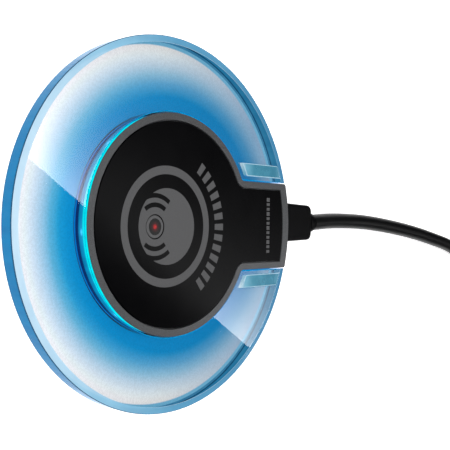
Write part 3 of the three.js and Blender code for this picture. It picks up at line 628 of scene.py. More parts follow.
def graded_film(look):
    """The film under the disc, glowing with painted lamp light: blue near the hub, and out to white, with a
    blue margin at its rim. Towards the tab the glow is painted in other tones, as light falls there
    differently.
    """
    finish = Finish("graded_film", Roughness=0.55)
    out = finish.span(finish.radius((0, 2.9 * MM)), 0, DISC_RADIUS)
    y = finish.span(finish.axes()[1], -0.75 * DISC_RADIUS, 0.75 * DISC_RADIUS)
    at = lambda millimetres: millimetres * MM / DISC_RADIUS
    # Painted light, in three tones: towards -Y, at the sides, and towards the tab at +Y.
    near = finish.ramp(
        out,
        (at(30.5), colour(0, 132, 196)), (at(33.0), colour(0, 138, 201)), (at(36.2), colour(4, 150, 209)),
        (at(37.0), colour(29, 159, 211)), (at(39.2), colour(88, 176, 216)), (at(41.8), colour(163, 204, 232)),
        (at(44.4), colour(211, 228, 244)), (at(45.9), colour(231, 242, 246)),
        (at(47.4), colour(250, 249, 255)))
    side = finish.ramp(
        out,
        (at(30.5), colour(3, 128, 187)), (at(34.0), colour(3, 128, 187)), (at(35.0), colour(36, 137, 189)),
        (at(37.5), colour(88, 157, 198)), (at(40.0), colour(138, 182, 207)),
        (at(42.5), colour(183, 202, 216)),
        (at(45.0), colour(210, 218, 221)), (at(46.8), colour(223, 222, 220)))
    far = finish.ramp(
        out,
        (at(30.5), colour(0, 112, 170)), (at(34.5), colour(4, 116, 172)), (at(38.0), colour(60, 132, 176)),
        (at(42.0), colour(118, 158, 188)), (at(46.0), colour(142, 164, 190)))
    # The painted light blends from the -Y tone to the sides' tone, then to the tab's.
    painted_light_front_blend = finish.maths("MULTIPLY", y, 2.0, clamp=True)
    painted_light_back_blend = finish.maths("MULTIPLY_ADD", y, 2.0, -1.0, clamp=True)
    tone = finish.mix(painted_light_back_blend, finish.mix(painted_light_front_blend, near, side), far)
    rim = finish.span(finish.radius(), 47.0 * MM, 47.3 * MM)
    tone = finish.mix(rim, tone, colour(108, 173, 205))
    print_dots = finish.ramp(finish.noise(0.5 * MM, 1.0), (0.4, colour(246, 246, 246)), (0.6, WHITE))
    tone = finish.mix(1.0, tone, print_dots, "MULTIPLY")
    return finish.lit(tone, 1.14 * look.glow).material


def glow_collar(look):
    """The clear collar round the hub, in painted light and shade by height: cyan at its top, blue bands below
    with a dark navy band among them, and a painted glint over each lamp.
    """
    finish = Finish("glow_collar", Roughness=0.15)
    x, y, z = finish.axes()
    level = finish.span(z, 2 * MM, COVER_HIGH.z)
    at = lambda millimetres: (millimetres - 2) * MM / (COVER_HIGH.z - 2 * MM)
    # Painted light and shade by height: the bright cyan top and blue bands are painted glow, the dark navy
    # band is painted shade.
    bands = finish.ramp(
        level,
        (at(2.4), colour(0, 120, 210)), (at(2.95), colour(0, 128, 220)), (at(3.1), colour(7, 32, 96)),
        (at(4.15), colour(7, 40, 104)), (at(4.3), colour(3, 130, 180)), (at(5.65), colour(17, 158, 208)),
        (at(5.85), colour(0, 250, 255)), (at(7.6), colour(0, 255, 255)))
    # Painted glints: a bright spot on the collar over each lamp, from the angle round the hub and the height.
    turn = finish.bearing()
    step = finish.maths("SNAP", finish.maths("SUBTRACT", turn, LAMP_FIRST - LAMP_PITCH / 2), LAMP_PITCH)
    middle = finish.maths("ADD", step, LAMP_FIRST)
    off = finish.maths("MULTIPLY", finish.maths("SUBTRACT", turn, middle), HUB_RADIUS)
    rise = finish.maths("SUBTRACT", z, 5.3 * MM)
    reach = finish.maths("SQRT", finish.maths(
        "ADD", finish.maths("POWER", off, 2), finish.maths("POWER", finish.maths("MULTIPLY", rise, 2.2), 2)))
    glint = finish.ramp(
        finish.span(reach, 0, 3.6 * MM), (0.0, WHITE), (0.3, colour(90, 90, 90)), (1.0, BLACK))
    streaks = finish.ramp(
        finish.noise(2.2 * MM, 3.0, (1, 1, 0.1)), (0.35, colour(170, 200, 215)), (0.7, WHITE))
    tone = finish.mix(0.5, bands, streaks, "MULTIPLY")
    tone = finish.mix(1.0, tone, finish.mix(1.0, glint, colour(90, 215, 255), "MULTIPLY"), "ADD")
    return finish.lit(tone, 1.2 * look.glow).material


def gunmetal():
    """The cover's satin gunmetal lacquer, with fine metal flakes."""
    finish = Finish("gunmetal_satin", Metallic=0.3, Specular_IOR_Level=0.25)
    flakes = finish.noise(0.12 * MM, 1.0)
    finish.set(finish.shader, Base_Color=finish.ramp(
        flakes, (0.35, colour(62, 63, 64)), (0.6, colour(78, 79, 81)), (0.75, colour(98, 100, 103))))
    finish.varied_roughness(0.32, 0.42, 1.5 * MM)
    finish.grain(0.15 * MM, 0.002 * MM)
    return finish.material


def gloss_black():
    """The charging face: smooth black under a soft gloss coat."""
    finish = Finish("gloss_black", Specular_IOR_Level=0.025)
    finish.set(finish.shader, Base_Color=finish.ramp(
        finish.noise(9 * MM, 2.0), (0.3, colour(4, 4, 5)), (0.7, colour(7, 7, 8))))
    finish.varied_roughness(0.14, 0.18, 5 * MM)
    finish.grain(0.2 * MM, 0.001 * MM)
    return finish.material


def printed_grey(look):
    """Screen-printed ink, a little uneven where the mesh left it."""
    finish = Finish("printed_grey", Roughness=0.6, Specular_IOR_Level=0.1)
    ink = finish.noise(0.25 * MM, 2.0)
    tone = tuple(look.print_tone) + (1.0,)
    finish.set(finish.shader, Base_Color=finish.mix(
        1.0, finish.ramp(ink, (0.3, colour(235, 235, 235)), (0.7, WHITE)), tone, "MULTIPLY"))
    finish.grain(0.25 * MM, 0.002 * MM)
    return finish.material


def indicator_glass(look):
    """The small dark lens with the red lamp's glow under its middle, and its border printed over."""
    finish = Finish("indicator_glass", Specular_IOR_Level=0.1)
    out = finish.radius(LENS_PLACE)
    glow = finish.ramp(
        finish.span(out, 0, LENS_CLEAR), (0.0, colour(225, 50, 44)), (0.16, colour(176, 14, 20)),
        (0.4, colour(60, 3, 7)), (0.75, BLACK), smooth=True)
    speckle = finish.ramp(finish.noise(0.4 * MM, 2.0), (0.35, colour(200, 200, 200)), (0.65, WHITE))
    ink = tuple(look.print_tone) + (1.0,)
    border = finish.span(out, LENS_CLEAR, LENS_CLEAR + 0.1 * MM)
    finish.set(
        finish.shader, Base_Color=finish.mix(border, colour(4, 3, 4), ink),
        Roughness=finish.maths("MULTIPLY_ADD", border, 0.4, 0.2),
        Emission_Color=finish.mix(1.0, glow, speckle, "MULTIPLY"), Emission_Strength=1.0)
    return finish.material


def woven_strap():
    """Hook-and-loop tape: woven across and along, with a soft nap."""
    finish = Finish("woven_strap", Roughness=0.85, Sheen_Weight=0.5, Sheen_Roughness=0.4)
    across = finish.node("TexWave", wave_type="BANDS", bands_direction="Z")
    across.inputs["Scale"].default_value = 900
    along = finish.node("TexWave", wave_type="BANDS", bands_direction="DIAGONAL")
    along.inputs["Scale"].default_value = 900
    for wave in (across, along):
        finish.set(wave, Vector=finish.place, Distortion=1.5)
    weave = finish.maths("MULTIPLY", across.outputs["Fac"], along.outputs["Fac"])
    finish.set(finish.shader, Base_Color=finish.ramp(
        weave, (0.1, colour(14, 14, 15)), (0.8, colour(42, 42, 45))))
    bump = finish.node("Bump")
    finish.set(bump, Strength=0.7, Distance=0.1 * MM, Height=weave)
    finish.set(finish.shader, Normal=bump.outputs[0])
    return finish.material


def wound_copper():
    """Enamelled copper wire, wound in a flat spiral."""
    finish = Finish("wound_copper", Metallic=0.9, Roughness=0.3)
    ridge = finish.maths("SINE", finish.maths("MULTIPLY", finish.radius(), TURN / (0.6 * MM)))
    share = finish.maths("MULTIPLY_ADD", ridge, 0.5, 0.5)
    finish.set(finish.shader, Base_Color=finish.ramp(
        share, (0.0, colour(96, 44, 20)), (1.0, colour(206, 122, 70))))
    bump = finish.node("Bump")
    finish.set(bump, Strength=0.8, Distance=0.15 * MM, Height=share)
    finish.set(finish.shader, Normal=bump.outputs[0])
    return finish.material


def printed_board():
    """Green solder mask over copper tracks."""
    finish = Finish("printed_board", Roughness=0.4, Coat_Weight=0.3)
    tracks = finish.node("TexBrick")
    finish.set(tracks, Vector=finish.place, Scale=420.0, Mortar_Size=0.03)
    finish.set(tracks, Color1=colour(20, 84, 48), Color2=colour(24, 92, 54), Mortar=colour(44, 128, 76))
    mottle = finish.ramp(finish.noise(3 * MM), (0.3, colour(215, 215, 215)), (0.7, WHITE))
    finish.set(finish.shader, Base_Color=finish.mix(1.0, tracks.outputs["Color"], mottle, "MULTIPLY"))
    finish.grain(0.3 * MM, 0.01 * MM)
    return finish.material


def lamp(name, tone, strength):
    """A lamp's clear resin over its glowing chip."""
    finish = Finish(name, Roughness=0.2)
    cloud = finish.ramp(finish.noise(0.4 * MM), (0.3, colour(200, 200, 200)), (0.7, WHITE))
    glow = finish.mix(1.0, cloud, tone, "MULTIPLY")
    finish.set(finish.shader, Base_Color=tone, Emission_Color=glow, Emission_Strength=strength)
    return finish.material


def soft_cord():
    """The cord's soft jacket, a little uneven along its length, with a faint grain."""
    finish = Finish("soft_cord", Specular_IOR_Level=0.1)
    finish.set(finish.shader, Base_Color=finish.ramp(
        finish.noise(6 * MM, 3.0), (0.3, colour(6, 6, 7)), (0.7, colour(9, 9, 10))))
    finish.varied_roughness(0.34, 0.44, 3 * MM)
    finish.grain(0.3 * MM, 0.012 * MM)
    return finish.material


def lit_card(settings):
    """A glowing sheet, brightest at one long edge and fading from it."""
    finish = Finish("lit_card")
    finish.tree.nodes.remove(finish.shader)
    fall = finish.maths("POWER", finish.span(finish.axes()[0], -0.5, 0.5), settings.card_fade)
    glow = finish.node("Emission")
    finish.set(glow, Color=WHITE, Strength=finish.maths("MULTIPLY", fall, settings.card_glow))
    finish.tree.links.new(glow.outputs[0], finish.output.inputs["Surface"])
    return finish.material


def studio_floor(settings):
    """A white sweep that stays evenly bright."""
    finish = Finish("studio_floor", Roughness=0.8)
    shade = finish.ramp(finish.noise(0.4, 2.0), (0.2, colour(250, 250, 250)), (0.8, WHITE))
    finish.set(finish.shader, Base_Color=shade, Emission_Color=shade, Emission_Strength=settings.floor_glow)
    return finish.material


# ---- Settings a user may change ----

class StageSettings(bpy.types.PropertyGroup):
    lens: bpy.props.FloatProperty(
        name="Lens", description="The camera's focal length", default=60.377, min=10, unit="CAMERA")
    sky_power: bpy.props.FloatProperty(
        name="Overhead light", description="Power of the softbox over the pad, in watts", default=22.0, min=0)
    card_glow: bpy.props.FloatProperty(
        name="Rear card", description="Brightness of the slanted card whose edge shows in the crystal",
        default=8.0, min=0)
    card_fade: bpy.props.FloatProperty(
        name="Card fade", description="How fast the card dims away from its edge", default=4.0, min=0)
    floor_glow: bpy.props.FloatProperty(
        name="Floor brightness", description="How far the floor lights itself, which keeps it white",
        default=0.55, min=0)


class LookSettings(bpy.types.PropertyGroup):
    glow: bpy.props.FloatProperty(
        name="Glow", description="Brightness of the blue light in the crystal", default=1.0, min=0)
    edge_tone: bpy.props.FloatVectorProperty(
        name="Lit edge", description="Colour of the crystal's edge next to the housing",
        subtype="COLOR", default=colour(0, 148, 232)[:3], min=0, max=1)
    print_tone: bpy.props.FloatVectorProperty(
        name="Print", description="Colour of the printed mark",
        subtype="COLOR", default=colour(84, 84, 85)[:3], min=0, max=1)


class SizeSettings(bpy.types.PropertyGroup):
    crystal_edge: bpy.props.FloatProperty(
        name="Crystal edge", description="Rounding of the clear disc's edges",
        default=0.2 * MM, min=0.05 * MM, unit="LENGTH")
    cover_edge: bpy.props.FloatProperty(
        name="Cover edge", description="Rounding of the gunmetal cover's edges",
        default=0.12 * MM, min=0.02 * MM, unit="LENGTH")
    print_height: bpy.props.FloatProperty(
        name="Ink height", description="Thickness of the printed mark",
        default=0.03 * MM, min=0.01 * MM, unit="LENGTH")
    mark_radius: bpy.props.FloatProperty(
        name="Mark", description="Outer radius of the printed ring round the indicator",
        default=15.7 * MM, min=5 * MM, unit="LENGTH")


def settings():
    scene = bpy.context.scene
    return scene.pad_stage, scene.pad_look, scene.pad_size


# ---- The stage ----

def soft_light(name, place, facing, size, power):
    """An area light at a place, turned by a quaternion."""
    ready()
    bpy.ops.object.light_add(type="AREA", location=place, rotation=facing.to_euler())
    light = bpy.context.object
    light.name = name
    light.data.shape = "RECTANGLE"
    light.data.size, light.data.size_y = size
    light.data.energy = power


class PAD_OT_stage(bpy.types.Operator):
    """Sets up the camera, the floor and the studio lights"""
    bl_idname = "charging_pad.stage"
    bl_label = "Stage"

    def execute(self, context):
        stage, _, _ = settings()
        look = Vector((0, math.cos(CAMERA_TILT), -math.sin(CAMERA_TILT)))
        turn = look.to_track_quat("-Z", "Y") @ Quaternion((0, 0, 1), CAMERA_ROLL)
        ready()
        bpy.ops.object.camera_add(location=CAMERA_PLACE, rotation=turn.to_euler())
        camera = context.object
        camera.data.lens = stage.lens
        camera.data.sensor_width = 36
        camera.data.clip_start = 1 * MM
        context.scene.camera = camera

        ready()
        bpy.ops.mesh.primitive_grid_add(x_subdivisions=8, y_subdivisions=8, size=6)
        floor = context.object
        floor.name = "studio_floor"
        paint(floor, studio_floor(stage))

        soft_light("overhead_softbox", SOFTBOX_PLACE, Quaternion(), SOFTBOX_SIZE, stage.sky_power)
        # The card stands upright, and its bright edge runs slantwise down over the pad.
        across = Vector((-CARD_EDGE.z, 0, CARD_EDGE.x))
        facing = Matrix((across, CARD_EDGE, across.cross(CARD_EDGE))).transposed().to_quaternion()
        middle = CARD_EDGE_MIDDLE - CARD_SIZE[0] / 2 * across
        ready()
        bpy.ops.mesh.primitive_grid_add(
            x_subdivisions=4, y_subdivisions=8, size=1, location=middle, rotation=facing.to_euler())
        card = context.object
        card.name = "slanted_card"
        card.scale = (*CARD_SIZE, 1)
        card.visible_camera = card.visible_diffuse = card.visible_shadow = False
        paint(card, lit_card(stage))

        world = bpy.data.worlds.new("studio")
        world.use_nodes = True
        world.node_tree.nodes["Background"].inputs["Color"].default_value = colour(60, 62, 66)
        context.scene.world = world
        context.scene.view_settings.view_transform = "Standard"
        return {"FINISHED"}


# ---- The cord and what is on it ----

def eased(value):
    value = min(1.0, max(0.0, value))
    return value * value * (3 - 2 * value)


def coil_place(degrees):
    """A place on the cord's coil: three turns inwards on the floor, then back out over them."""
    turn, along = divmod(degrees, 360)
    radius = COIL_RADIUS - 2 * CORD_DIAMETER
    height = COIL_LOW.z + CORD_DIAMETER / 2
    if turn < 2:
        radius = COIL_RADIUS - CORD_DIAMETER * (turn + eased((along - 180) / 110))
    elif turn == 2:
        height += CORD_DIAMETER * eased((along - 114) / 132)
    else:
        height += CORD_DIAMETER
        radius += CORD_DIAMETER * (eased((along - 70) / 110) if turn == 3 else 1)
    angle = math.radians(along)
    return Vector((
        COIL_CENTRE.x + radius * math.cos(angle), COIL_CENTRE.y + radius * math.sin(angle), height))


def cord_route():
    route = [Vector(point) * MM for point in LEAD_POINTS]
    step = 360 // COIL_STEPS
    route += [coil_place(degrees) for degrees in range(0, 4 * 360 + COIL_LAST + 1, step)]
    return route + [Vector(point) * MM for point in TAIL_POINTS]


class PAD_OT_cord(bpy.types.Operator):
    """Lays the cord from the pad's plug into its coil and on to the other plug"""
    bl_idname = "charging_pad.cord"
    bl_label = "Cord"

    def execute(self, context):
        route = cord_route()
        curve = bpy.data.curves.new("cord", "CURVE")
        curve.dimensions = "3D"
        curve.resolution_u = 5
        curve.bevel_depth = CORD_DIAMETER / 2
        curve.bevel_resolution = 6
        curve.use_fill_caps = True
        spline = curve.splines.new("BEZIER")
        spline.bezier_points.add(len(route) - 1)
        for point, place in zip(spline.bezier_points, route):
            point.co = place
            point.handle_left_type = point.handle_right_type = "AUTO"
        cord = bpy.data.objects.new("cord", curve)
        context.scene.collection.objects.link(cord)
        curve.materials.append(soft_cord())
        give(cord, CABLE, "soft_black", "cord_lead", "cord_coil", "cord_tail")
        return {"FINISHED"}


class PAD_OT_plug(bpy.types.Operator):
    """Makes the pad's plug: its grip and its collar"""
    bl_idname = "charging_pad.plug"
    bl_label = "Pad plug"

    def execute(self, context):
        black = moulded("grip_black", colour(5, 5, 6), 0.4, depth=0.01 * MM, Specular_IOR_Level=0.04)
        corner = 2 * MM
        middle = (GRIP_LOW.x + GRIP_HIGH.x) / 2
        front = GRIP_HIGH.x - middle
        back = front - 0.4 * MM
        round_back = GRIP_HIGH.y - corner
        pen = Pen("plug_grip", (middle + front, GRIP_LOW.y, GRIP_LOW.z))
        pen.line(middle + back, round_back)
        pen.arc((middle + back - corner, round_back), math.pi / 2)
        pen.line(middle + corner - back, GRIP_HIGH.y)
        pen.arc((middle + corner - back, round_back), math.pi / 2)
        pen.line(middle - front, GRIP_LOW.y)
        grip = bevel(pen.raise_to(GRIP_HIGH.z), 0.9 * MM, 4)
        give(paint(grip, black), CABLE, "satin_black", "plug_overmould")

        centre = (RELIEF_LOW + RELIEF_HIGH) / 2
        radius = RELIEF_HIGH.z - centre.z
        profile = [
            (0, RELIEF_LOW.y), (radius - 0.2 * MM, RELIEF_LOW.y), (radius, RELIEF_LOW.y + 0.2 * MM),
            (radius, RELIEF_LOW.y + 1.1 * MM), (radius - 0.28 * MM, RELIEF_LOW.y + 1.35 * MM),
            (radius - 0.32 * MM, RELIEF_HIGH.y - 0.3 * MM), (radius - 0.5 * MM, RELIEF_HIGH.y),
            (0, RELIEF_HIGH.y)]
        collar = smooth(turned("plug_collar", profile, (centre.x, 0, centre.z), (0, 1, 0)))
        widening = (RELIEF_HIGH.x - centre.x) / radius
        pick(collar)
        bpy.ops.object.mode_set(mode="EDIT")
        bpy.ops.mesh.select_all(action="SELECT")
        bpy.ops.transform.resize(value=(widening, 1, 1), center_override=centre)
        bpy.ops.object.mode_set(mode="OBJECT")
        give(paint(collar, black), CABLE, "satin_black", "plug_relief")
        return {"FINISHED"}


class PAD_OT_usb_a_plug(bpy.types.Operator):
    """Makes the grip, the collar and the metal shell of the plug at the cord's far end"""
    bl_idname = "charging_pad.usb_a_plug"
    bl_label = "Far plug"

    def execute(self, context):
        black = moulded("far_grip_black", colour(17, 17, 18), 0.45, depth=0.01 * MM)
        corner = 3 * MM
        low, high = USB_GRIP_LOW, USB_GRIP_HIGH
        pen = Pen("far_grip", (high.x, low.y + corner, low.z))
        pen.line(high.x, high.y)
        pen.line(low.x, high.y)
        pen.line(low.x, low.y + corner)
        pen.arc((low.x + corner, low.y + corner), math.pi / 2)
        pen.line(high.x - corner, low.y)
        pen.arc((high.x - corner, low.y + corner), math.pi / 2)
        grip = pen.raise_to(high.z)
        ribs = []
        for row in range(4):
            y = low.y + (4.5 + 2.6 * row) * MM
            for bottom, top in ((high.z - 0.35 * MM, high.z + MM), (low.z - MM, low.z + 0.35 * MM)):
                ribs.append(block(
                    "rib", (low.x + 2.6 * MM, y, bottom), (high.x - 2.6 * MM, y + 1.1 * MM, top)))
        grip = bevel(cut(grip, *ribs), 0.3 * MM, 3)
        give(paint(grip, black), CABLE, "satin_black", "usb_a_overmould")

        middle = (USB_RELIEF_LOW + USB_RELIEF_HIGH) / 2
        start = CORD_DIAMETER / 2 + 0.45 * MM
        end = USB_RELIEF_HIGH.x - middle.x
        profile = [(0, USB_RELIEF_LOW.y), (start, USB_RELIEF_LOW.y)]
        rings = 4
        pitch = (USB_RELIEF_HIGH.y - USB_RELIEF_LOW.y) / rings
        for ring in range(rings):
            y = USB_RELIEF_LOW.y + ring * pitch
            out = start + (end - start) * (ring + 1) / rings
            profile += [
                (out, y + 0.25 * MM), (out, y + pitch - 0.75 * MM),
                (out - 0.4 * MM, y + pitch - 0.55 * MM), (out - 0.4 * MM, y + pitch - 0.1 * MM)]
        profile.append((0, USB_RELIEF_HIGH.y))
        relief = smooth(turned("far_relief", profile, (middle.x, 0, middle.z), (0, 1, 0)))
        give(paint(relief, black), CABLE, "satin_black", "usb_a_relief")

        wall = 0.35 * MM
        low, high = USB_SHELL_LOW, USB_SHELL_HIGH
        inner = Vector((wall, -MM, wall))
        shell = bevel(block("far_shell", low, high), 0.5 * MM, 3)
        shell = cut(shell, block("bore", low + inner, (high.x - wall, high.y + MM, high.z - wall)))
        for x in (low.x + 2.3 * MM, high.x - 4.3 * MM):
            y = low.y + 4.2 * MM
            shell = cut(shell, block(
                "window", (x, y, high.z - 2 * wall), (x + 2 * MM, y + 2.2 * MM, high.z + MM)))
        give(paint(smooth(shell), metal("far_plated", colour(196, 198, 202), 0.26, (1, 0.05, 1))),
             CABLE, "plated_steel", "usb_a_shell")
        return {"FINISHED"}


class PAD_OT_cable_tie(bpy.types.Operator):
    """Gives the imported tie round one side of the coil a woven strap finish"""
    bl_idname = "charging_pad.cable_tie"
    bl_label = "Cable tie"

    def execute(self, context):
        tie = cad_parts["cable_tie"]
        tie.data.materials.clear()
        tie.data.materials.append(woven_strap())
        return {"FINISHED"}


# ---- The clear disc ----

def is_upright(normal):
    return abs(normal.z) < 0.3


class PAD_OT_crystal_disc(bpy.types.Operator):
    """Makes the thick clear disc with its lit wall, its lower land and its window pockets"""
    bl_idname = "charging_pad.crystal_disc"
    bl_label = "Crystal disc"

    def execute(self, context):
        _, look, size = settings()
        land = DISC_TOP - LAND_DROP
        edge = 0.15 * MM
        step = DISC_RADIUS - LAND_WIDTH
        disc = open_disc("crystal_disc_body", DISC_RADIUS, FIT, DISC_LOW.z, DISC_TOP)
        disc = bevel(disc, size.crystal_edge, 2)
        rim = turned("rim", [
            (step, DISC_TOP + MM), (step, land), (DISC_RADIUS - edge, land), (DISC_RADIUS, land - edge),
            (DISC_RADIUS + MM, land - edge), (DISC_RADIUS + MM, DISC_TOP + MM), (step, DISC_TOP + MM)],
            steps=RIM_STEPS)
        pockets = [
            window_shape("pocket", side, FIT / 2, WINDOW_LOW.z - FIT / 2, DISC_TOP + MM) for side in (-1, 1)]
        disc = smooth(cut(disc, rim, *pockets))

        def out(place):
            return math.hypot(place.x, place.y)

        def lit_edge(place, normal):
            return place.z > DISC_TOP - 0.6 * size.crystal_edge and out(place) < step and normal.z < 0.95

        paint(disc, crystal_clear())
        paint(disc, crystal_inside(look), lambda place, normal: normal.z < -0.9)
        paint(disc, crystal_wall(look), lambda place, normal: is_upright(normal) and out(place) > step + MM)
        # Painted glow: the keyhole's walls along the tab get an opaque blue glow in place of what lies in the
        # gap.
        paint(disc, glowing("tab_wall_painted_glow", colour(0, 140, 225), look.glow, Roughness=0.2),
              lambda place, normal: is_upright(normal) and place.y > HUB_RADIUS
              and abs(place.x) < TAB_HALF_WIDTH + 2 * FIT)
        # Painted shade: a dark blue line on the slanted faces of the outer rim's rounded edges.
        paint(disc, glowing("painted_rim_edge_shade", colour(20, 84, 122), look.glow, Roughness=0.2),
              lambda place, normal: out(place) > step + MM and 0.3 <= abs(normal.z) < 0.95)
        paint(disc, crystal_land(look), lambda place, normal: out(place) > step and normal.z > 0.95)
        # Painted highlight on the step's upright edge.
        paint(disc, painted_step_highlight(look),
              lambda place, normal: is_upright(normal)
              and abs(out(place) - step) < 0.1 * MM and place.z > land)
        paint(disc, glowing("lit_edge", (*look.edge_tone, 1.0), look.glow, 0.9, Roughness=0.1), lit_edge)
        give(disc, PAD, "clear_acrylic", "crystal_disc")
        return {"FINISHED"}


class PAD_OT_side_windows(bpy.types.Operator):
    """Makes the two small windows beside the tab"""
    bl_idname = "charging_pad.side_windows"
    bl_label = "Side windows"

    def execute(self, context):
        _, look, _ = settings()
        finish = Finish("window_painted_glow", Roughness=0.08)
        y = finish.span(finish.axes()[1], WINDOW_LOW.y, WINDOW_HIGH.y)
        cloud = finish.ramp(finish.noise(3 * MM), (0.3, colour(215, 225, 230)), (0.7, WHITE))
        # Painted glow and light: a bright inner end, a darker middle and a lighter outer end.
        tone = finish.ramp(
            y, (0.0, colour(226, 246, 255)), (0.09, colour(128, 190, 214)), (0.3, colour(84, 156, 180)),
            (0.85, colour(74, 142, 168)), (1.0, colour(112, 172, 196)))
        tone = finish.mix(1.0, tone, cloud, "MULTIPLY")
        finish.lit(tone, look.glow)
        finish.glass_over(finish.shader.outputs[0], 0.85)
        # Painted highlights on the windows' slanted edges.
        line = glowing("window_painted_edge_highlight", colour(190, 226, 244), look.glow, Roughness=0.1)
        for index, side in enumerate((-1, 1)):
            window = window_shape(f"window_{index + 1}", side, 0, WINDOW_LOW.z, WINDOW_HIGH.z)
            window = bevel(window, 0.22 * MM, 2)
            paint(window, finish.material)
            paint(window, line, lambda place, normal: 0.2 < normal.z < 0.95)
            give(window, PAD, "clear_acrylic", f"side_window_{index + 1}")
        return {"FINISHED"}


class PAD_OT_graded_film(bpy.types.Operator):
    """Makes the graded film under the disc"""
    bl_idname = "charging_pad.graded_film"
    bl_label = "Graded film"

    def execute(self, context):
        _, look, _ = settings()
        film = open_disc("graded_film", FILM_HIGH.x, FIT, FILM_LOW.z, FILM_HIGH.z)
        film = bevel(film, 0.05 * MM, 1)
        give(paint(film, graded_film(look)), PAD, "graded_film", "diffuser_film")
        return {"FINISHED"}


# ---- The housing ----

class PAD_OT_light_collar(bpy.types.Operator):
    """Makes the clear collar that glows round the hub and along the tab"""
    bl_idname = "charging_pad.light_collar"
    bl_label = "Glowing collar"

    def execute(self, context):
        _, look, _ = settings()
        collar = keyhole("light_collar", -FIT, RING_LOW.z, RING_HIGH.z)
        bore = keyhole("bore", -FIT - RING_THICKNESS, RING_LOW.z - MM, RING_HIGH.z + MM)
        step = keyhole("step", FIT + RIM_WALL - RIM_WIDTH, RING_STEP, RING_HIGH.z + MM)
        end = block("end", (-DISC_RADIUS, RING_HIGH.y, 0), (DISC_RADIUS, DISC_RADIUS, DISC_TOP + MM))
        collar = bevel(cut(collar, bore, step, end), 0.08 * MM, 2)
        give(paint(collar, glow_collar(look)), PAD, "glow_collar", "light_ring")
        return {"FINISHED"}


def screw_places():
    """The middles of the four cover screws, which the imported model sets."""
    for index in range(1, 5):
        low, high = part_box(f"cover_screw_{index}")
        yield (low + high) / 2


class PAD_OT_top_cover(bpy.types.Operator):
    """Makes the gunmetal cover: its lip, its rim, the face's seat and the posts underneath"""
    bl_idname = "charging_pad.top_cover"
    bl_label = "Top cover"

    def execute(self, context):
        _, _, size = settings()
        top = COVER_HIGH.z
        seat = top - SEAT_DROP
        pocket = (-RIM_WIDTH, seat, top + MM, TAB_END - TAB_RIM_WIDTH)
        lip = keyhole("top_cover_body", 0, top - RIM_LIP, top)
        cover = bevel(cut(lip, keyhole("pocket", *pocket)), size.cover_edge, 2)
        rim = keyhole("rim", RIM_WALL - RIM_WIDTH, top - RIM_DEPTH, top - RIM_LIP / 2)
        shelf = keyhole("shelf", -RIM_WIDTH - FIT, PLATE_LOW.z - 1.15 * MM, seat)
        cover = weld(cover, cut(rim, keyhole("pocket", *pocket)), shelf)
        for place in screw_places():
            low, high = FLOOR_LOW.z + 1.7 * MM, seat - 0.5 * MM
            inner, outer = 0.75 * MM, 1.4 * MM
            post = turned(
                "post", [(inner, low), (outer, low), (outer, high), (inner, high), (inner, low)],
                (place.x, place.y, 0))
            cover = weld(cover, post)
        hole = turned("pipe_hole", [(0, seat - 2 * MM), (1.3 * MM, seat - 2 * MM), (1.3 * MM, top), (0, top)],
                      (*LENS_PLACE, 0))
        gap = Vector((FIT, FIT, FIT))
        socket = block(
            "socket_gap", SOCKET_LOW - gap, (SOCKET_HIGH.x + FIT, DISC_RADIUS, SOCKET_HIGH.z + FIT))
        cover = smooth(cut(cover, hole, socket))
        give(paint(cover, gunmetal()), PAD, "gunmetal_cover", "top_cover")
        return {"FINISHED"}


class PAD_OT_face_plate(bpy.types.Operator):
    """Makes the black charging face"""
    bl_idname = "charging_pad.face_plate"
    bl_label = "Charging face"

    def execute(self, context):
        _, _, size = settings()
        plate = keyhole("charging_face", -RIM_WIDTH - FIT, PLATE_LOW.z, PLATE_HIGH.z, PLATE_HIGH.y)
        radius = LENS_RADIUS + FIT / 2
        hole = turned(
            "lens_hole", [(0, 0), (radius, 0), (radius, PLATE_HIGH.z + MM), (0, PLATE_HIGH.z + MM)],
            (*LENS_PLACE, 0))
        plate = bevel(cut(plate, hole), size.cover_edge, 2)
        give(paint(plate, gloss_black()), PAD, "gloss_black", "face_plate")
        return {"FINISHED"}


def flat_band(name, centre, inner, outer, start, sweep, height):
    """A flat stretch of a ring, from a start angle round by a sweep."""
    base = PLATE_HIGH.z
    steps = max(4, round(abs(sweep) / math.radians(4)))
    turn = Vector((math.cos(start), math.sin(start)))
    pen = Pen(name, (*(Vector(centre) + inner * turn), base))
    pen.line(*(Vector(centre) + outer * turn))
    pen.arc(centre, sweep, steps)
    turn = Vector((math.cos(start + sweep), math.sin(start + sweep)))
    pen.line(*(Vector(centre) + inner * turn))
    pen.arc(centre, -sweep, steps)
    return pen.raise_to(base + height)


def joined(pieces, name):
    ready()
    for piece in pieces:
        piece.select_set(True)
    bpy.context.view_layer.objects.active = pieces[0]
    bpy.ops.object.join()
    bpy.context.object.name = name
    return bpy.context.object


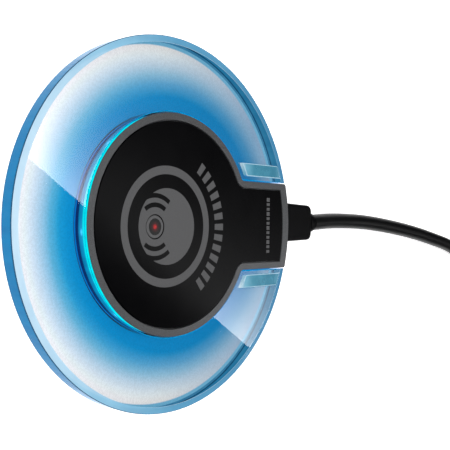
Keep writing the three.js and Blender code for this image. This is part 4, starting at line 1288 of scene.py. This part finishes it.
class PAD_OT_prints(bpy.types.Operator):
    """Prints a plain mark of rings, arcs and bars round the indicator, and a dashed line on the tab"""
    bl_idname = "charging_pad.prints"
    bl_label = "Prints"

    def execute(self, context):
        _, look, size = settings()
        ink = printed_grey(look)
        height = size.print_height
        base = PLATE_HIGH.z
        centre = Vector((0.5 * MM, -3.4 * MM))
        ring = size.mark_radius

        band = turned("printed_ring", [
            (ring - 2.2 * MM, base), (ring, base), (ring, base + height), (ring - 2.2 * MM, base + height),
            (ring - 2.2 * MM, base)], (*centre, 0), steps=96)
        give(paint(band, ink), PAD, "gunmetal_cover")

        field = turned("printed_field", [
            (0, base), (ring - 5.8 * MM, base), (ring - 5.8 * MM, base + height), (0, base + height)],
            (*centre, 0), steps=96)
        gap = turned("lens_gap", [
            (0, 0), (LENS_RADIUS + FIT, 0), (LENS_RADIUS + FIT, base + MM), (0, base + MM)],
            (*LENS_PLACE, 0))
        waves = []
        for radius in (5.0 * MM, 7.4 * MM):
            for side in (0, math.pi):
                waves.append(flat_band(
                    "wave", LENS_PLACE, radius, radius + 1.2 * MM, side - math.radians(38),
                    math.radians(76), height + MM))
        for wave in waves:
            wave.data.transform(Matrix.Translation((0, 0, -0.5 * MM)))
        field = cut(field, gap, *waves)
        give(paint(smooth(field), ink), PAD, "gunmetal_cover")

        pitch = math.radians(8.5)
        bar_count = 13
        first = math.pi / 2 - pitch * (bar_count - 1) / 2
        inner, outer = ring + 2.4 * MM, ring + 5.8 * MM
        bar = flat_band("printed_bars", centre, inner, outer, first - pitch * 0.3, pitch * 0.6, height)
        pick(bar)
        bpy.ops.object.mode_set(mode="EDIT")
        bpy.ops.mesh.select_all(action="SELECT")
        bpy.ops.mesh.spin(
            steps=bar_count - 1, dupli=True, angle=-pitch * (bar_count - 1), center=(*centre, 0),
            axis=(0, 0, 1))
        bars = close(bar)
        give(paint(bars, ink), PAD, "gunmetal_cover")

        dashes = []
        for index in range(12):
            x = (index - 5.5) * 1.4 * MM
            y = 38.3 * MM
            length = (0.42 if index % 3 else 0.58) * MM
            dashes.append(block(
                "dash", (x - length, y - 0.7 * MM, base), (x + length, y + 0.7 * MM, base + height)))
        dash_row = bevel(joined(dashes, "printed_dashes"), 0.01 * MM, 1)
        give(paint(dash_row, ink), PAD, "gunmetal_cover")
        return {"FINISHED"}


class PAD_OT_indicator(bpy.types.Operator):
    """Makes the dark lens over the red lamp"""
    bl_idname = "charging_pad.indicator"
    bl_label = "Indicator"

    def execute(self, context):
        _, look, _ = settings()
        low, high = LENS_LOW.z, LENS_HIGH.z
        edge = 0.08 * MM
        profile = [
            (0, low), (LENS_RADIUS, low), (LENS_RADIUS, high - edge),
            (LENS_RADIUS - 0.3 * edge, high - 0.3 * edge),
            (LENS_RADIUS - edge, high), (0, high)]
        lens = smooth(turned("indicator_window", profile, (*LENS_PLACE, 0)))
        give(paint(lens, indicator_glass(look)), PAD, "indicator_glass", "indicator_lens")
        return {"FINISHED"}


class PAD_OT_feet(bpy.types.Operator):
    """Makes the rubber foot ring and the tab's foot"""
    bl_idname = "charging_pad.feet"
    bl_label = "Feet"

    def execute(self, context):
        rubber = moulded("foot_rubber", colour(26, 27, 28), 0.8, size=0.3 * MM, depth=0.03 * MM)
        outer = FOOT_HIGH.x
        inner = outer - 7.3 * MM
        top = FOOT_HIGH.z
        edge = 0.25 * MM
        profile = [(inner + edge, 0), (inner + 2 * MM, 0), (inner + 2.3 * MM, edge), (outer - 2.3 * MM, edge),
                   (outer - 2 * MM, 0), (outer - edge, 0), (outer, edge), (outer, top), (inner, top),
                   (inner, edge), (inner + edge, 0)]
        ring = smooth(turned("rubber_ring", profile, steps=96))
        give(paint(ring, rubber), PAD, "foot_rubber", "foot_ring")

        low, high = TAB_FOOT_LOW, TAB_FOOT_HIGH
        corner = MM
        pen = Pen("tab_rubber", (high.x, low.y + corner, low.z))
        pen.line(high.x, high.y - corner)
        for x, y, far_x, far_y in (
                (high.x - corner, high.y - corner, low.x + corner, high.y),
                (low.x + corner, high.y - corner, low.x, low.y + corner),
                (low.x + corner, low.y + corner, high.x - corner, low.y)):
            pen.arc((x, y), math.pi / 2)
            pen.line(far_x, far_y)
        pen.arc((high.x - corner, low.y + corner), math.pi / 2)
        foot = bevel(pen.raise_to(high.z), 0.2 * MM, 2)
        give(paint(foot, rubber), PAD, "foot_rubber", "tab_foot")
        return {"FINISHED"}


class PAD_OT_finishes(bpy.types.Operator):
    """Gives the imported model's own parts their finishes"""
    bl_idname = "charging_pad.finishes"
    bl_label = "Inner finishes"

    def execute(self, context):
        chip = moulded("chip_epoxy", colour(18, 19, 20), 0.5, size=0.1 * MM)
        ceramic = moulded("ceramic_tan", colour(176, 154, 120), 0.5, size=0.2 * MM)
        plated = metal("plated_steel", colour(200, 202, 205), 0.26, (1, 0.05, 1))
        steel = metal("screw_steel", colour(150, 153, 157), 0.34, (1, 1, 0.1))
        gilt = metal("gilt_contact", colour(222, 182, 96), 0.28, (1, 0.05, 1))
        white = moulded("insulator_white", colour(226, 226, 222), 0.5)
        ferrite = moulded("ferrite_grey", colour(56, 55, 58), 0.7, size=0.25 * MM)
        by_start = {
            "bottom_cover": moulded("casing_black", colour(20, 21, 22), 0.5, size=0.25 * MM, depth=0.02 * MM),
            "cover_screw": steel,
            "circuit_board": printed_board(),
            "ferrite_shield": ferrite,
            "charging_coil": wound_copper(),
            "coil_lead": wound_copper(),
            "control_chip": chip,
            "coil_driver": chip,
            "filter_inductor": ferrite,
            "resonant_cap": ceramic,
            "coil_thermistor": chip,
            "ring_lamp": lamp("lamp_blue", colour(120, 220, 255), 1.0),
            "indicator_lamp": lamp("lamp_red", colour(235, 30, 34), 1.0),
            "indicator_pipe": moulded("light_pipe", colour(220, 228, 232), 0.25),
            "socket_shell": plated,
            "socket_tongue": chip,
            "plug_shell": plated,
            "plug_insert": chip,
            "usb_a_insert": white,
            "usb_a_contact": gilt,
        }
        for name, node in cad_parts.items():
            for start, finish in by_start.items():
                if name.startswith(start):
                    node.data.materials.clear()
                    node.data.materials.append(finish)
        return {"FINISHED"}


# ---- The panel ----

STEPS = (
    PAD_OT_stage, PAD_OT_plug, PAD_OT_usb_a_plug, PAD_OT_cable_tie, PAD_OT_cord, PAD_OT_crystal_disc,
    PAD_OT_side_windows, PAD_OT_graded_film, PAD_OT_light_collar, PAD_OT_top_cover, PAD_OT_face_plate,
    PAD_OT_prints, PAD_OT_indicator, PAD_OT_feet, PAD_OT_finishes)


class PAD_PT_panel(bpy.types.Panel):
    """Lists the pad's making, one button for each group of pieces"""
    bl_label = "Charging pad"
    bl_idname = "PAD_PT_panel"
    bl_space_type = "VIEW_3D"
    bl_region_type = "UI"
    bl_category = "Charging pad"

    def draw(self, context):
        for step in STEPS:
            self.layout.operator(step.bl_idname)
        for group in settings():
            for name in group.bl_rna.properties.keys():
                if name not in {"rna_type", "name"}:
                    self.layout.prop(group, name)


CLASSES = (StageSettings, LookSettings, SizeSettings, *STEPS, PAD_PT_panel)


def register():
    for cls in CLASSES:
        bpy.utils.register_class(cls)
    bpy.types.Scene.pad_stage = bpy.props.PointerProperty(type=StageSettings)
    bpy.types.Scene.pad_look = bpy.props.PointerProperty(type=LookSettings)
    bpy.types.Scene.pad_size = bpy.props.PointerProperty(type=SizeSettings)


def unregister():
    del bpy.types.Scene.pad_size
    del bpy.types.Scene.pad_look
    del bpy.types.Scene.pad_stage
    for cls in reversed(CLASSES):
        bpy.utils.unregister_class(cls)


def main():
    register()
    for step in STEPS:
        group, name = step.bl_idname.split(".")
        getattr(getattr(bpy.ops, group), name)()
    ready()


if __name__ == "__main__":
    main()
